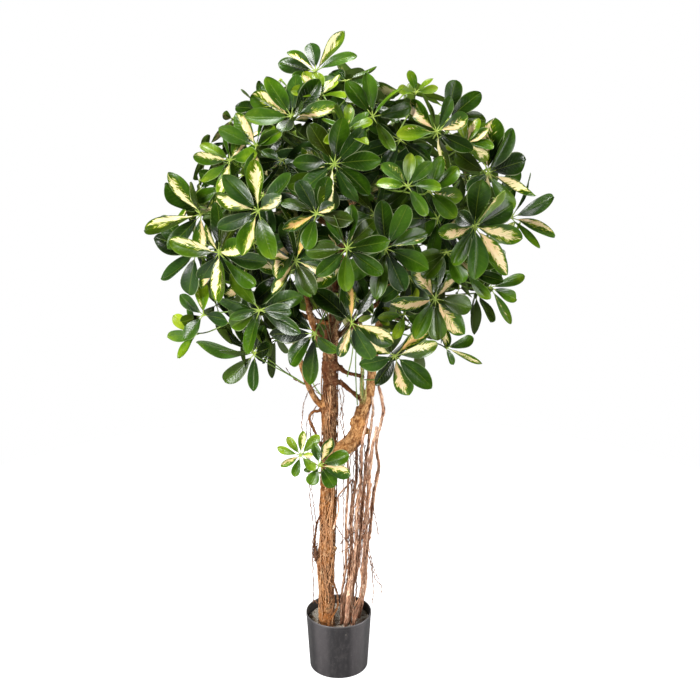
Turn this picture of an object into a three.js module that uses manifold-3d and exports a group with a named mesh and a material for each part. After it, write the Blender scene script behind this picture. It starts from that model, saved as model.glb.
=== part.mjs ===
// Potted umbrella plant: a variegated dwarf schefflera, 1.4 m tall, grown as a small standard tree.
//
// A bare, forked wooden trunk and six woody lianas stand in a plain black pot. The crown is a ball of leafy
// sprays. Each spray is a thin green stem that leaves a bough of the trunk and carries two to four leaves.
// A leaf is a stalk with a ring of obovate leaflets round its hub, like the ribs of an umbrella.
//
// Millimetres, +Z up, the front of the plant towards -Y. The origin is the centre of the pot's underside.
import * as THREE from "three";
import Module from "manifold-3d";

const wasm = await Module();
wasm.setup();

// ---------------------------------------------------------------------------------------------
// Driving dimensions
// ---------------------------------------------------------------------------------------------
const POT = { height: 138, rimRadius: 75, footRadius: 66.8, wall: 2, floor: 3, footChamfer: 2.5 };
const POT_SEGMENTS = 32;
const FILL = { level: 116, domeHeight: 3, wallGap: 0.4 };
const CLEARANCE = 0.35; // between pieces that touch on the real plant
const TRUNK_SIDES = 9;
const BRANCH_SIDES = 5;
const TWIG_SIDES = 5;
const LIANA_SIDES = 6;

// The surface that the leaf hubs lie on: an upright ellipsoid round the top of the trunk.
const CROWN = { x: 20, y: 0, z: 1045, halfWidth: 340, halfDepth: 295, halfHeight: 320 };

// The front leaves are listed as they are seen from here, on the upright plane through the trunk.
const VIEWPOINT = new THREE.Vector3(26, -2469, 1572);
const SIGHT_SLOPE = 18; // degrees that the line of sight looks down

const OUTWARD_TURN = 0.1; // degrees that a front leaf faces outwards, for each millimetre from the middle
const OUTWARD_CUP = 0.5; // how much more its leaflets rise, as a share of that turn

// A leaflet's outline, as shares of its length.
const LEAFLET = { widestAt: 0.6, halfWidth: 0.175, tipAt: 0.97, tipHalfWidth: 0.07, midribAt: 0.56 };
const LEAFLET_KEEL = 0.035; // how far the midrib lies below the edges, as a share of the length
const LEAFLET_ARCH = 0.07; // how far the tip drops, as a share of the length
const BLADE = 2.4; // thickness on the midrib; the blade thins to its edges
const HUB = { radius: 5.5, height: 3, below: 3.5, room: 7 };
const LEAST_SPACING = 37; // degrees between two leaflets of one leaf
const WIDE_GAP = 110; // degrees between two leaflets over which the hub's own edge shows

const STEM_RADIUS = 2.6;
const STALK_RADIUS = 1.9;
const STALK_APPROACH = 42; // the stalk meets its hub square on over this length
const STALK_CORNERS = [90, 210, 330];
const BUD_RADIUS = 5; // the swelling that the stalks of a spray leave its stem from
// How far a bud lies in from its leaves, as a share of the way to the core: the first that clears the others.
const BUD_DEPTHS = [0.4, 0.48, 0.32, 0.56, 0.26, 0.64, 0.2];
const STEM_CHOICES = 10;

// A leaflet that would cross something bends up or down by the first of these angles that clears it.
const BENDS = [0, 9, -9, 18, -18, 27, -27, 36, 45, -36];

// ---------------------------------------------------------------------------------------------
// Solids
// ---------------------------------------------------------------------------------------------
const vec = (x, y, z) => new THREE.Vector3(x, y, z);
const degrees = THREE.MathUtils.degToRad;

/** A closed solid from a list of points and a list of triangles that face out. */
function solidFrom(points, triangles) {
  const vertProperties = new Float32Array(points.flatMap((p) => [p.x, p.y, p.z]));
  const triVerts = new Uint32Array(triangles.flat());
  return new wasm.Manifold(new wasm.Mesh({ numProp: 3, vertProperties, triVerts }));
}

/** A closed three.js geometry as a solid. */
function solidFromGeometry(geometry) {
  const position = geometry.getAttribute("position");
  const corners = geometry.index ? [...geometry.index.array] : [...Array(position.count).keys()];
  const seen = new Map();
  const points = [];
  const merged = corners.map((i) => {
    const p = vec(position.getX(i), position.getY(i), position.getZ(i));
    const key = [p.x, p.y, p.z].map((c) => Math.round(c * 1000)).join();
    if (!seen.has(key)) {
      seen.set(key, points.length);
      points.push(p);
    }
    return seen.get(key);
  });
  const triangles = [];
  for (let i = 0; i < merged.length; i += 3) {
    const [a, b, c] = merged.slice(i, i + 3);
    if (a !== b && b !== c && c !== a) triangles.push([a, b, c]);
  }
  return solidFrom(points, triangles);
}

/** A body turned about the Z axis from a profile of [radius, height] pairs. */
function turned(profile, segments) {
  const points = profile.map(([radius, height]) => new THREE.Vector2(radius, height));
  return solidFromGeometry(new THREE.LatheGeometry(points, segments).rotateX(Math.PI / 2));
}

/** A closed tapered limb through stations [x, y, z, radius], with `between` extra rings in each stretch. */
function limb(stations, sides, between = 1, grow = 0) {
  const curve = new THREE.CatmullRomCurve3(stations.map(([x, y, z]) => vec(x, y, z)), false, "centripetal");
  const rings = (stations.length - 1) * between + 1;
  const points = [];
  let across = Math.abs(curve.getTangent(0).x) < 0.9 ? vec(1, 0, 0) : vec(0, 1, 0);
  for (let ring = 0; ring < rings; ring++) {
    const t = ring / (rings - 1);
    const at = curve.getPoint(t);
    const along = curve.getTangent(t);
    across = across.clone().addScaledVector(along, -across.dot(along)).normalize();
    const third = along.clone().cross(across);
    const station = Math.min(Math.floor(ring / between), stations.length - 2);
    const share = ring / between - station;
    const radius = THREE.MathUtils.lerp(stations[station][3], stations[station + 1][3], share) + grow;
    for (let side = 0; side < sides; side++) {
      const angle = (2 * Math.PI * side) / sides;
      const p = at.clone().addScaledVector(across, radius * Math.cos(angle));
      points.push(p.addScaledVector(third, radius * Math.sin(angle)));
    }
  }
  const triangles = [];
  for (let ring = 0; ring < rings - 1; ring++) {
    for (let side = 0; side < sides; side++) {
      const a = ring * sides + side;
      const b = ring * sides + ((side + 1) % sides);
      triangles.push([a, b, b + sides], [a, b + sides, a + sides]);
    }
  }
  const last = (rings - 1) * sides;
  for (let side = 1; side < sides - 1; side++) {
    triangles.push([0, side + 1, side], [last, last + side, last + side + 1]);
  }
  return solidFrom(points, triangles);
}

const union = (solids) => solids.reduce((all, one) => all.add(one));

/** The largest of a solid's separate bodies. */
const largest = (solid) => solid.decompose().sort((a, b) => b.volume() - a.volume())[0];

function meshOf(name, solid, material) {
  const { vertProperties, triVerts } = solid.getMesh();
  const geometry = new THREE.BufferGeometry();
  geometry.setAttribute("position", new THREE.BufferAttribute(vertProperties, 3));
  geometry.setIndex(new THREE.BufferAttribute(triVerts, 1));
  geometry.computeVertexNormals();
  const mesh = new THREE.Mesh(geometry, material);
  mesh.name = name;
  return mesh;
}

// ---------------------------------------------------------------------------------------------
// Wood: one grown piece, from its foot in the pot to the ends of its boughs
// ---------------------------------------------------------------------------------------------
const TRUNK = [
  [-27, -27, 14, 19], [-27, -27, 118, 19.5], [-28, -26, 215, 18], [-28, -25, 290, 21], [-24, -22, 345, 18.5],
  [-23, -21, 410, 19.5], [-20, -18, 500, 18], [-18, -15, 600, 18.5], [-18, -12, 700, 18],
  [-16, -8, 770, 17.5],
  [-8, -4, 850, 13], [2, 0, 950, 10.5], [10, 4, 1060, 8.5], [14, 6, 1150, 6],
];
// The thick limb that forks off half way up, and the two stems that it splits into.
const FORK = [
  [-15, -20, 538, 14], [5, -20, 547, 17], [25, -20, 561, 19], [40, -20, 583, 18.5], [47, -19, 613, 16.5],
  [51, -18, 645, 11],
];
const PALE_STEM = [
  [50, -19, 632, 9], [53, -17, 662, 6], [54, -15, 705, 5.5], [57, -12, 760, 5], [48, -30, 840, 4.5],
];
const BROWN_STEM = [
  [52, -18, 625, 12], [66, -15, 665, 10.5], [72, -11, 708, 10], [77, -6, 760, 9], [92, 0, 850, 7.5],
  [125, 12, 950, 6],
];
const LEFT_BRANCH = [
  [-28, -14, 640, 9], [-46, -16, 660, 8], [-62, -18, 693, 7.5], [-74, -16, 730, 7], [-92, -10, 790, 6],
  [-130, 0, 880, 5],
];
const FRONT_BRANCH = [[-20, -14, 765, 9], [-38, -50, 812, 7], [-58, -72, 880, 6], [-66, -95, 950, 5]];
const TWIGS = [
  [[-8, -12, 742, 9], [14, -14, 726, 4.5], [34, -15, 720, 4], [54, -15, 716, 4]],
  [[-8, -12, 708, 6], [14, -14, 694, 5], [34, -17, 678, 4.5], [51, -18, 663, 5]],
  [
    [-34, -18, 640, 4], [-56, -22, 634, 3.4], [-63, -24, 621, 3.2], [-52, -24, 596, 3.2],
    [-42, -22, 568, 3.2], [-32, -20, 548, 3],
  ],
  [[-42, -28, 392, 3], [-50, -32, 358, 3.6], [-53, -32, 312, 3.6], [-45, -30, 278, 3.4]],
  [
    [-14, -34, 240, 3.2], [-3, -40, 205, 3], [-1, -46, 178, 3], [-9, -51, 158, 3.2], [-20, -53, 142, 3.2],
    [-23, -53, 95, 3.2],
  ],
];
const LEADER = TRUNK.slice(-5); // the stretch of the trunk inside the crown, which the boughs leave
const BOUGHS = { count: 9, firstAngle: 40, turn: 137.5, lowest: 800, rise: 38, reach: 150, lift: 70 };
const BOUGH_RADIUS = { root: 6.5, tip: 4 };

/** Boughs that leave the leader on a spiral. */
function boughs() {
  const leader = new THREE.CatmullRomCurve3(LEADER.map(([x, y, z]) => vec(x, y, z)));
  return Array.from({ length: BOUGHS.count }, (_, i) => {
    const angle = degrees(BOUGHS.firstAngle + BOUGHS.turn * i);
    const foot = BOUGHS.lowest + BOUGHS.rise * i;
    const root = leader.getPoint((foot - LEADER[0][2]) / (LEADER.at(-1)[2] - LEADER[0][2]));
    const out = (share, up) => [
      root.x + BOUGHS.reach * share * Math.cos(angle),
      root.y + BOUGHS.reach * share * Math.sin(angle),
      root.z + BOUGHS.lift * up,
    ];
    return [
      [...out(0, 0), BOUGH_RADIUS.root],
      [...out(0.5, 0.35), (BOUGH_RADIUS.root + BOUGH_RADIUS.tip) / 2],
      [...out(1, 1), BOUGH_RADIUS.tip],
    ];
  });
}

const BRANCHES = [LEFT_BRANCH, FRONT_BRANCH, PALE_STEM, BROWN_STEM, ...boughs()];

const wood = (grow = 0) =>
  union([
    limb(TRUNK, TRUNK_SIDES, 1, grow),
    limb(FORK, TRUNK_SIDES, 1, grow),
    ...BRANCHES.map((branch) => limb(branch, BRANCH_SIDES, 1, grow)),
    ...TWIGS.map((twig) => limb(twig, TWIG_SIDES, 1, grow)),
  ]);

// Woody lianas that stand in the pot beside the trunk and lean up to the fork, listed from left to right.
const LIANAS = [
  [
    [5, -24, 30, 3.6], [6, -24, 116, 3.6], [8, -25, 160, 3.6], [9, -27, 210, 3.5], [15, -29, 258, 3.5],
    [17, -30, 310, 3.5], [17, -29, 360, 3.4], [18, -28, 410, 3.4], [21, -27, 450, 3.2], [22, -30, 500, 3],
    [20, -32, 536, 2.6],
  ],
  [
    [10, -10, 30, 4.6], [10, -10, 116, 4.6], [14, -12, 160, 4.6], [20, -14, 210, 4.5], [27, -16, 258, 4.4],
    [29, -17, 310, 4.5], [28, -17, 360, 4.4], [31, -17, 410, 4.3], [38, -18, 460, 4.2], [41, -20, 508, 4],
    [40, -22, 546, 3.6],
  ],
  [
    [16, -34, 30, 5], [16, -34, 116, 5], [19, -34, 160, 5], [25, -34, 210, 5], [34, -34, 258, 5],
    [39, -35, 310, 5], [40, -34, 360, 4.8], [42, -34, 410, 4.8], [49, -33, 460, 4.6], [51, -33, 508, 4.4],
    [51, -34, 552, 4],
  ],
  [
    [25, -17, 30, 5], [25, -17, 116, 5], [29, -16, 160, 5], [34, -14, 210, 5], [42, -13, 258, 5],
    [47, -13, 310, 5], [51, -13, 360, 4.8], [54, -12, 410, 4.8], [58, -12, 460, 4.6], [61, -13, 508, 4.6],
    [66, -16, 560, 4.4], [73, -22, 610, 4], [76, -26, 645, 3.4],
  ],
  [
    [33, -34, 30, 5.5], [34, -33, 116, 5.5], [43, -30, 160, 5.5], [55, -25, 192, 5.5], [54, -26, 225, 5.2],
    [54, -28, 260, 5.2], [59, -30, 310, 5.4], [62, -30, 360, 5.2], [64, -30, 410, 5], [67, -30, 460, 5],
    [70, -30, 508, 4.8], [75, -33, 560, 4.6], [84, -34, 606, 4],
  ],
  [
    [45, 4, 30, 4.6], [46, 4, 116, 4.6], [54, 0, 165, 4.6], [62, -6, 210, 4.4], [62, -10, 260, 4.4],
    [66, -12, 310, 4.6], [72, -13, 360, 4.6], [76, -14, 410, 4.6], [79, -14, 440, 4.6], [86, -13, 480, 4.6],
    [89, -14, 508, 4.6], [84, -14, 545, 4.4], [86, -14, 575, 4.4], [93, -14, 605, 4.4], [99, -14, 640, 4.6],
    [94, -12, 668, 4.2], [88, -8, 692, 3.6],
  ],
];

// ---------------------------------------------------------------------------------------------
// Pot, and the filler that holds the wood
// ---------------------------------------------------------------------------------------------
function pot() {
  const { height, rimRadius, footRadius, wall, floor, footChamfer } = POT;
  return turned([
    [0, 0], [footRadius - footChamfer, 0], [footRadius, footChamfer], [rimRadius, height],
    [rimRadius - wall, height], [footRadius - wall, floor], [0, floor],
  ], POT_SEGMENTS);
}

function filler() {
  const { height, rimRadius, footRadius, wall, floor } = POT;
  const gap = FILL.wallGap;
  const inner = [footRadius - wall, rimRadius - wall];
  const wallRadius = (z) => THREE.MathUtils.mapLinear(z, floor, height, ...inner) - gap;
  const block = turned([
    [0, floor + gap], [wallRadius(floor + gap), floor + gap], [wallRadius(FILL.level), FILL.level],
    [wallRadius(FILL.level) * 0.55, FILL.level + FILL.domeHeight], [0, FILL.level + FILL.domeHeight],
  ], POT_SEGMENTS);
  const rooted = [wood(CLEARANCE), ...LIANAS.map((liana) => limb(liana, LIANA_SIDES, 1, CLEARANCE))];
  return rooted.reduce((left, root) => left.subtract(root), block);
}

// ---------------------------------------------------------------------------------------------
// Leaves
// ---------------------------------------------------------------------------------------------
// Each spray lists its leaves: where the hub is seen (across, up), its layer in the crown (1 is the outer
// one), the leaflets' length as seen, how far it tips up from facing the front, how far its leaflets rise
// from its own plane, and the angles of the leaflets, counted anticlockwise from the right.
const FRONT_SPRAYS = {
  spray_top: [
    [-42, 1355, 1, 80, 45, 15, [171, 142, 96, [48, 104], [17, 88], [215, 55]]],
    [-33, 1306, 1.05, 60, 50, 28, [165, 135, 100, 60, 25, 350]],
    [18, 1336, 0.9, 72, 55, 10, [175, 120, 30, 345]],
  ],
  spray_top_left: [
    [-92, 1265, 1.02, 96, 40, 18, [180, 150, 115, 85, 55, 25]],
    [-150, 1280, 0.85, 66, 45, 10, [170, 205, 130, 90]],
    [-72, 1230, 0.84, 76, 25, 0, [265, 205, 320]],
  ],
  spray_left_high: [
    [-165, 1205, 1.02, 85, 30, 14, [160, 121, 75, 38, 2, 270]],
    [-218, 1177, 1.04, 76, 25, 6, [145, 105, 60, 184, 222, 262, 5]],
  ],
  spray_top_right: [
    [72, 1265, 1.02, 90, 35, 14, [135, 98, 55, 12, 300, 200]],
    [82, 1312, 0.92, 66, 55, 28, [115, 75, 38, 160, 0]],
    [20, 1238, 1.06, 58, 38, 24, [155, 118, 80, 45, 8, 215, 325]],
  ],
  spray_right_high: [
    [201, 1235, 1.04, 85, 22, 6, [137, 100, 62, 25, 331, 287, 185]],
    [222, 1256, 0.88, 90, 35, 10, [80, 43, 5]],
    [158, 1313, 0.95, 46, 50, 28, [33, 350, 120, 190]],
  ],
  spray_right_shoulder: [
    [263, 1210, 1.03, 56, 25, 18, [80, 40, 0, 322, 190, 118]],
    [308, 1151, 1, 108, 12, 2, [[84, 116], 50, 18, [352, 122], [322, 96], [166, 84], [202, 84], [246, 60]]],
  ],
  spray_far_right: [
    [360, 1058, 0.96, 104, 12, 4, [[98, 100], 55, [22, 110], [350, 112], [312, 90]]],
    [330, 1098, 0.8, 80, 18, 0, [180, 230, 60]],
  ],
  spray_right: [
    [284, 1040, 1.05, 110, 8, 2, [98, 61, 22, [350, 115], [312, 133], [272, 112], [236, 96], [195, 84]]],
    [298, 996, 0.88, 90, 5, -4, [315, 270, 200]],
  ],
  spray_right_middle: [
    [145, 1123, 1.08, 72, 22, 14, [130, 91, 51, 171, 11, 295]],
    [188, 1113, 1, 80, 18, 8, [73, 32, 350, 312, 120]],
    [128, 1218, 0.88, 82, 22, 4, [200, 240, 160, 320, 20]],
  ],
  spray_heart_high: [
    [-6, 1170, 1.04, 96, 12, 2, [118, 81, 44, 7, 330, 293, 250, 213, 176]],
    [-112, 1178, 0.82, 80, 15, 0, [200, 240, 150, 300, 20]],
  ],
  spray_heart: [
    [-43, 1066, 1.03, 82, 10, 4, [152, 115, 75, 35, 205, 345, 250]],
    [-36, 1122, 0.78, 80, 10, 0, [270, 225, 315, 150]],
  ],
  spray_heart_low: [
    [20, 993, 1.06, 92, 10, 2, [125, 88, 48, 8, 184, 225, 265, 320]],
    [66, 1104, 0.78, 76, 10, 0, [300, 250, 10, 170]],
  ],
  spray_heart_right: [
    [100, 993, 1.02, 106, 10, 2, [98, 61, 24, 340, 295, 256, 218, 181]],
    [152, 932, 0.84, 84, 5, -6, [300, 260, 220, 340]],
  ],
  spray_left_middle: [
    [-163, 1073, 1.04, 105, 10, 2, [93, 130, 167, 204, 241, 289, 50]],
    [-226, 1122, 0.86, 82, 15, 2, [150, 110, 200, 60]],
  ],
  spray_far_left: [
    [-282, 1065, 1, 110, 10, 4, [[127, 112], [157, 126], [187, 138], [217, 104], [86, 92], [264, 84], 30]],
  ],
  spray_left: [
    [-248, 984, 1.04, 104, 4, 0, [[165, 110], [128, 70], 91, 54, 18, 342, 306, [269, 112], 230]],
    [-297, 982, 0.9, 112, 0, -4, [[165, 114], 132, 204, 254]],
  ],
  spray_left_low: [
    [-165, 859, 1.02, 103, 2, -2, [172, 209, 245, 335, 25, 125]],
    [-88, 966, 0.98, 90, 6, 0, [110, 65, 25, 348, 161, 229, 275, 312]],
  ],
  spray_low_left: [
    [-178, 762, 0.96, 108, -2, -2, [[187, 140], [150, 112], 224, 273, [110, 96], [70, 84]]],
  ],
  spray_front_low: [
    [-48, 808, 1, 102, -4, -4, [221, 258, 295, 184, 147]],
    [22, 906, 0.6, 80, 0, -4, [250, 300, 60, 120]],
  ],
  spray_middle_low: [
    [30, 831, 1.03, 108, 2, -2, [98, 138, 48, 251, 292, 335]],
    [78, 848, 0.88, 40, 10, 10, [120, 200, 330, 30]],
  ],
  spray_low_right: [
    [123, 757, 1, 110, 0, -4, [160, 205, 245, 282, 323, 5, 42]],
    [232, 775, 0.92, 98, 5, -2, [338, 15, 300]],
  ],
  spray_right_low: [
    [206, 884, 1.03, 100, 4, -2, [[82, 92], 45, 127, 195, 232, 350, [312, 116], 274]],
    [142, 850, 0.94, 60, 10, 8, [66, 190, 330, 250, 120]],
  ],
  spray_right_edge: [
    [268, 946, 1, 86, 5, -4, [307, 345, 200, 160, 20]],
    [322, 908, 0.94, 90, 5, -4, [343, 306, 20, 90]],
  ],
  spray_right_inner: [
    [208, 1056, 0.9, 92, 12, 0, [305, 265, 120, 60, 180]],
    [228, 985, 0.98, 76, 8, 0, [190, 227, 340, 20, 300]],
  ],
  spray_left_edge: [
    [-302, 806, 1, 76, 8, 2, [188, 225, 150, 110]],
    [-285, 848, 0.96, 68, 8, 2, [134, 90, 201, 240, 350]],
  ],
};
// The small spray on the front of the trunk. Its hubs stand this far in front of the plane they are seen on.
const TRUNK_SPRAY = {
  root: [-22, -20, 496],
  bud: [-50, -52, 505],
  forward: [-70, -78],
  leaves: [
    [-83, 525, 1, 58, 20, 4, [164, 125, 88, 50, 212, 254, 315, 5]],
    [-42, 502, 1, 72, 15, 2, [63, 100, 20, 343, 306, 247, 163, 205]],
  ],
};
// The rest of the crown is grown by rule: sprays on a spiral from its top down over its back and sides.
const BACK = {
  seed: 7,
  sprays: 30, // on the whole spiral, of which only those behind `firstFront` are grown
  reach: 1.72, // how far down the spiral goes, from 0 at the top to 2 at the bottom
  firstFront: 10,
  leaves: 4,
  spread: 88,
  leaflets: 5,
  length: 96,
  tip: 8, // degrees that every leaf faces up
  tipShare: 0.6, // and as much more as this share of its latitude
  rise: 8,
  wander: 18,
  unevenness: 10,
};
const GOLDEN_ANGLE = 137.508;

/** A small seeded generator of numbers from 0 to 1. */
function randomFrom(seed) {
  let state = seed >>> 0;
  return () => {
    state = (state + 0x6d2b79f5) >>> 0;
    let t = Math.imul(state ^ (state >>> 15), 1 | state);
    t = (t + Math.imul(t ^ (t >>> 7), 61 | t)) ^ t;
    return ((t ^ (t >>> 14)) >>> 0) / 4294967296;
  };
}

/** Leaflets turned apart, pair by pair, until none lies closer to its neighbour than the least spacing. */
function spread(blades) {
  const sorted = [...blades].sort((a, b) => a.angle - b.angle);
  for (let pass = 0; pass < 40; pass++) {
    sorted.forEach((blade, i) => {
      const next = sorted[(i + 1) % sorted.length];
      const gap = next.angle - blade.angle + (next === sorted[0] ? 360 : 0);
      if (gap < LEAST_SPACING) {
        blade.angle -= (LEAST_SPACING - gap) / 2;
        next.angle += (LEAST_SPACING - gap) / 2;
      }
    });
  }
  return sorted;
}

/** A leaf's frame: its hub, the way it faces, and the two directions in its plane. */
function leafFrame(hub, turn, tip, rise) {
  const facing = vec(Math.sin(turn) * Math.cos(tip), -Math.cos(turn) * Math.cos(tip), Math.sin(tip));
  const right = vec(Math.cos(turn), Math.sin(turn), 0);
  const up = facing.clone().cross(right);
  return { hub, facing, right, up, rise };
}

/** The direction in a leaf's plane at an angle, counted anticlockwise from its right. */
const inPlane = ({ right, up }, angle) =>
  right.clone().multiplyScalar(Math.cos(degrees(angle))).addScaledVector(up, Math.sin(degrees(angle)));

/** The angle in the leaf's plane of what is seen at an angle from the front. */
function angleInPlane({ right, up }, seenAngle) {
  const slope = degrees(SIGHT_SLOPE);
  const across = (v) => v.x;
  const upward = (v) => v.y * Math.sin(slope) + v.z * Math.cos(slope);
  const [c, s] = [Math.cos(degrees(seenAngle)), Math.sin(degrees(seenAngle))];
  const alongRight = c * upward(up) - s * across(up);
  const alongUp = s * across(right) - c * upward(right);
  return (THREE.MathUtils.radToDeg(Math.atan2(alongUp, alongRight)) + 360) % 360;
}

/** A listed front leaf: the hub is moved along the line of sight on to its layer of the crown. */
function listedLeaf([across, height, layer, seenLength, tip, rise, leaflets], forward) {
  const seen = vec(across, 0, height);
  const offset = ((across - CROWN.x) / CROWN.halfWidth) ** 2 + ((height - CROWN.z) / CROWN.halfHeight) ** 2;
  const y = forward ?? -CROWN.halfDepth * Math.sqrt(Math.max(0.02, 1 - offset)) * layer ** 2;
  const share = (y - VIEWPOINT.y) / -VIEWPOINT.y;
  const hub = VIEWPOINT.clone().lerp(seen, share);
  const turn = degrees((across - CROWN.x) * OUTWARD_TURN);
  const leaf = leafFrame(hub, turn, degrees(tip), degrees(rise) + OUTWARD_CUP * Math.abs(turn));
  const blades = leaflets.map((entry) => {
    const [angle, length = seenLength] = [entry].flat();
    return { angle: angleInPlane(leaf, angle), length: length * share };
  });
  return { ...leaf, blades: spread(blades) };
}

/** A leaf grown by rule on the ellipsoid, in the direction `at` from its middle. */
function ruledLeaf(at, random) {
  const { x, y, z, halfWidth, halfDepth, halfHeight } = CROWN;
  const hub = vec(x + halfWidth * at.x, y + halfDepth * at.y, z + halfHeight * at.z);
  const turn = Math.atan2(at.x, -at.y) + degrees(BACK.wander * (random() - 0.5));
  const latitude = Math.asin(THREE.MathUtils.clamp(at.z, -1, 1));
  const tip = latitude * BACK.tipShare + degrees(BACK.tip + BACK.wander * (random() - 0.5));
  const first = random() * 360;
  const length = BACK.length * (0.85 + 0.3 * random());
  const leaf = leafFrame(hub, turn, tip, degrees(BACK.rise * random()));
  const blades = Array.from({ length: BACK.leaflets }, (_, n) => {
    const angle = first + (360 / BACK.leaflets) * n + BACK.unevenness * (random() - 0.5);
    return { angle: angle % 360, length };
  });
  return { ...leaf, blades: spread(blades) };
}

/** Sprays of leaves over the back, the sides and the underside of the crown. */
function backSprays() {
  const random = randomFrom(BACK.seed);
  const sprays = [];
  for (let i = 0; i < BACK.sprays; i++) {
    const up = 1 - (BACK.reach * (i + 0.5)) / BACK.sprays;
    const angle = degrees(GOLDEN_ANGLE * i);
    const out = Math.sqrt(1 - up * up);
    const centre = vec(out * Math.cos(angle), out * Math.sin(angle), up);
    const spin = random() * 360;
    if (centre.y * CROWN.halfDepth < BACK.firstFront) continue;
    const east = vec(-centre.y, centre.x, 0).normalize();
    const north = centre.clone().cross(east);
    const leaves = Array.from({ length: BACK.leaves }, (_, k) => {
      const around = degrees(spin + (360 / BACK.leaves) * k);
      const step = (BACK.spread / CROWN.halfWidth) * (0.85 + 0.3 * random());
      const at = centre.clone();
      at.addScaledVector(east, step * Math.cos(around)).addScaledVector(north, step * Math.sin(around));
      at.normalize().multiplyScalar(0.9 + 0.14 * random());
      return ruledLeaf(at, random);
    });
    sprays.push({ name: `spray_back_${String(sprays.length + 1).padStart(2, "0")}`, leaves });
  }
  return sprays;
}

/** The points of one leaflet: its edges, and where its midrib lies above and below. */
function leafletPoints(leaf, { angle, length }, bend, grow = 0) {
  const radial = inPlane(leaf, angle);
  const rise = leaf.rise + degrees(bend);
  const along = radial.clone().multiplyScalar(Math.cos(rise)).addScaledVector(leaf.facing, Math.sin(rise));
  const over = radial.clone().multiplyScalar(-Math.sin(rise)).addScaledVector(leaf.facing, Math.cos(rise));
  const side = along.clone().cross(over);
  const at = (share, half, lift) =>
    leaf.hub.clone()
      .addScaledVector(along, length * share)
      .addScaledVector(side, half)
      .addScaledVector(over, lift - length * LEAFLET_ARCH * share * share);
  const { widestAt, halfWidth, tipAt, tipHalfWidth, midribAt } = LEAFLET;
  const wide = halfWidth * length + grow;
  const blunt = tipHalfWidth * length + grow;
  const tip = tipAt + grow / length;
  const thick = BLADE / 2 + grow;
  return {
    root: [at(0.03, HUB.radius + grow, 0), at(0.03, -HUB.radius - grow, 0)],
    edges: [at(widestAt, wide, 0), at(tip, blunt, 0), at(tip, -blunt, 0), at(widestAt, -wide, 0)],
    above: at(midribAt, 0, thick - LEAFLET_KEEL * length),
    below: at(midribAt, 0, -thick - LEAFLET_KEEL * length),
  };
}

/** The room that one leaflet takes up: its own form, slightly fatter. */
function leafletSpace(leaf, blade, bend) {
  const { root, edges, above, below } = leafletPoints(leaf, blade, bend, CLEARANCE * 3);
  const outline = [root[0], ...edges, root[1]];
  const triangles = outline.flatMap((_, a) => {
    const b = (a + 1) % outline.length;
    return [[outline.length, a, b], [outline.length + 1, b, a]];
  });
  return solidFrom([...outline, above, below], triangles);
}

/** Three-sided rings down the stalk of a leaf, from under its hub to inside the bud. */
function stalkRings(leaf, bud) {
  const { hub, facing } = leaf;
  const bend = hub.clone().addScaledVector(facing, -STALK_APPROACH);
  const down = facing.clone().negate();
  const inward = bud.clone().sub(bend).normalize();
  const turn = new THREE.Quaternion().setFromUnitVectors(down, inward);
  const half = new THREE.Quaternion().slerp(turn, 0.5);
  const stations = [
    [hub.clone().addScaledVector(facing, -HUB.below), new THREE.Quaternion()],
    [bend, half],
    [bud, turn],
  ];
  return stations.map(([at, rotation]) =>
    STALK_CORNERS.map((angle) => {
      const out = inPlane(leaf, angle).applyQuaternion(rotation);
      return at.clone().addScaledVector(out, STALK_RADIUS);
    }),
  );
}

/** A whole leaf as one thin solid: leaflets that meet in valleys round the hub, and the stalk behind it. */
function leafSolid(leaf, bud) {
  const { hub, facing, leaflets } = leaf;
  const points = [hub.clone().addScaledVector(facing, HUB.height)];
  const top = 0;
  const add = (p) => points.push(p) - 1;
  const rings = stalkRings(leaf, bud).map((ring) => ring.map(add));
  const corner = (angle) => Math.round((((angle - STALK_CORNERS[0]) / 120) % 3) + 3) % 3;
  const triangles = [];
  const fan = (centre, loop) => loop.slice(1).forEach((b, i) => triangles.push([centre, loop[i], b]));

  // A valley between each leaflet and the next, or two at the sides of a wide gap.
  const valleys = leaflets.map(({ angle }, i) => {
    const next = leaflets[(i + 1) % leaflets.length].angle + (i + 1 === leaflets.length ? 360 : 0);
    const angles = next - angle > WIDE_GAP ? [angle + 45, next - 45] : [(angle + next) / 2];
    const edge = (a) => add(hub.clone().addScaledVector(inPlane(leaf, a), HUB.radius));
    return angles.map((a) => ({ angle: a, at: edge(a) }));
  });
  leaflets.forEach(({ blade, bend, angle }, i) => {
    const { edges, above, below } = leafletPoints(leaf, blade, bend);
    const before = valleys.at(i - 1).at(-1).at;
    const after = valleys[i][0].at;
    const outline = [before, ...edges.map(add), after];
    const under = rings[0][corner(angle)];
    fan(add(above), [top, ...outline, top]);
    fan(add(below), [under, ...[...outline].reverse(), under]);
  });
  // The hub's edge across a wide gap, and the underside between the valleys and the stalk.
  const loop = leaflets.flatMap(({ angle }, i) => [{ ring: corner(angle) }, ...valleys[i]]);
  let current = loop[0].ring;
  const turnTo = (target, at) => {
    for (; current !== target; current = (current + 1) % 3) {
      triangles.push([at, rings[0][current], rings[0][(current + 1) % 3]]);
    }
  };
  loop.forEach(({ at, angle }, i) => {
    if (at === undefined) return;
    const following = loop[(i + 1) % loop.length];
    turnTo(corner(angle), at);
    if (following.at === undefined) {
      turnTo(following.ring, at);
    } else {
      triangles.push([top, at, following.at], [following.at, at, rings[0][current]]);
    }
  });
  rings.slice(1).forEach((lower, r) => {
    const upper = rings[r];
    [0, 1, 2].forEach((a) => {
      const b = (a + 1) % 3;
      triangles.push([upper[b], upper[a], lower[a]], [upper[b], lower[a], lower[b]]);
    });
  });
  const end = rings.at(-1);
  triangles.push([end[2], end[1], end[0]]);
  return solidFrom(points, triangles);
}

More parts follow.
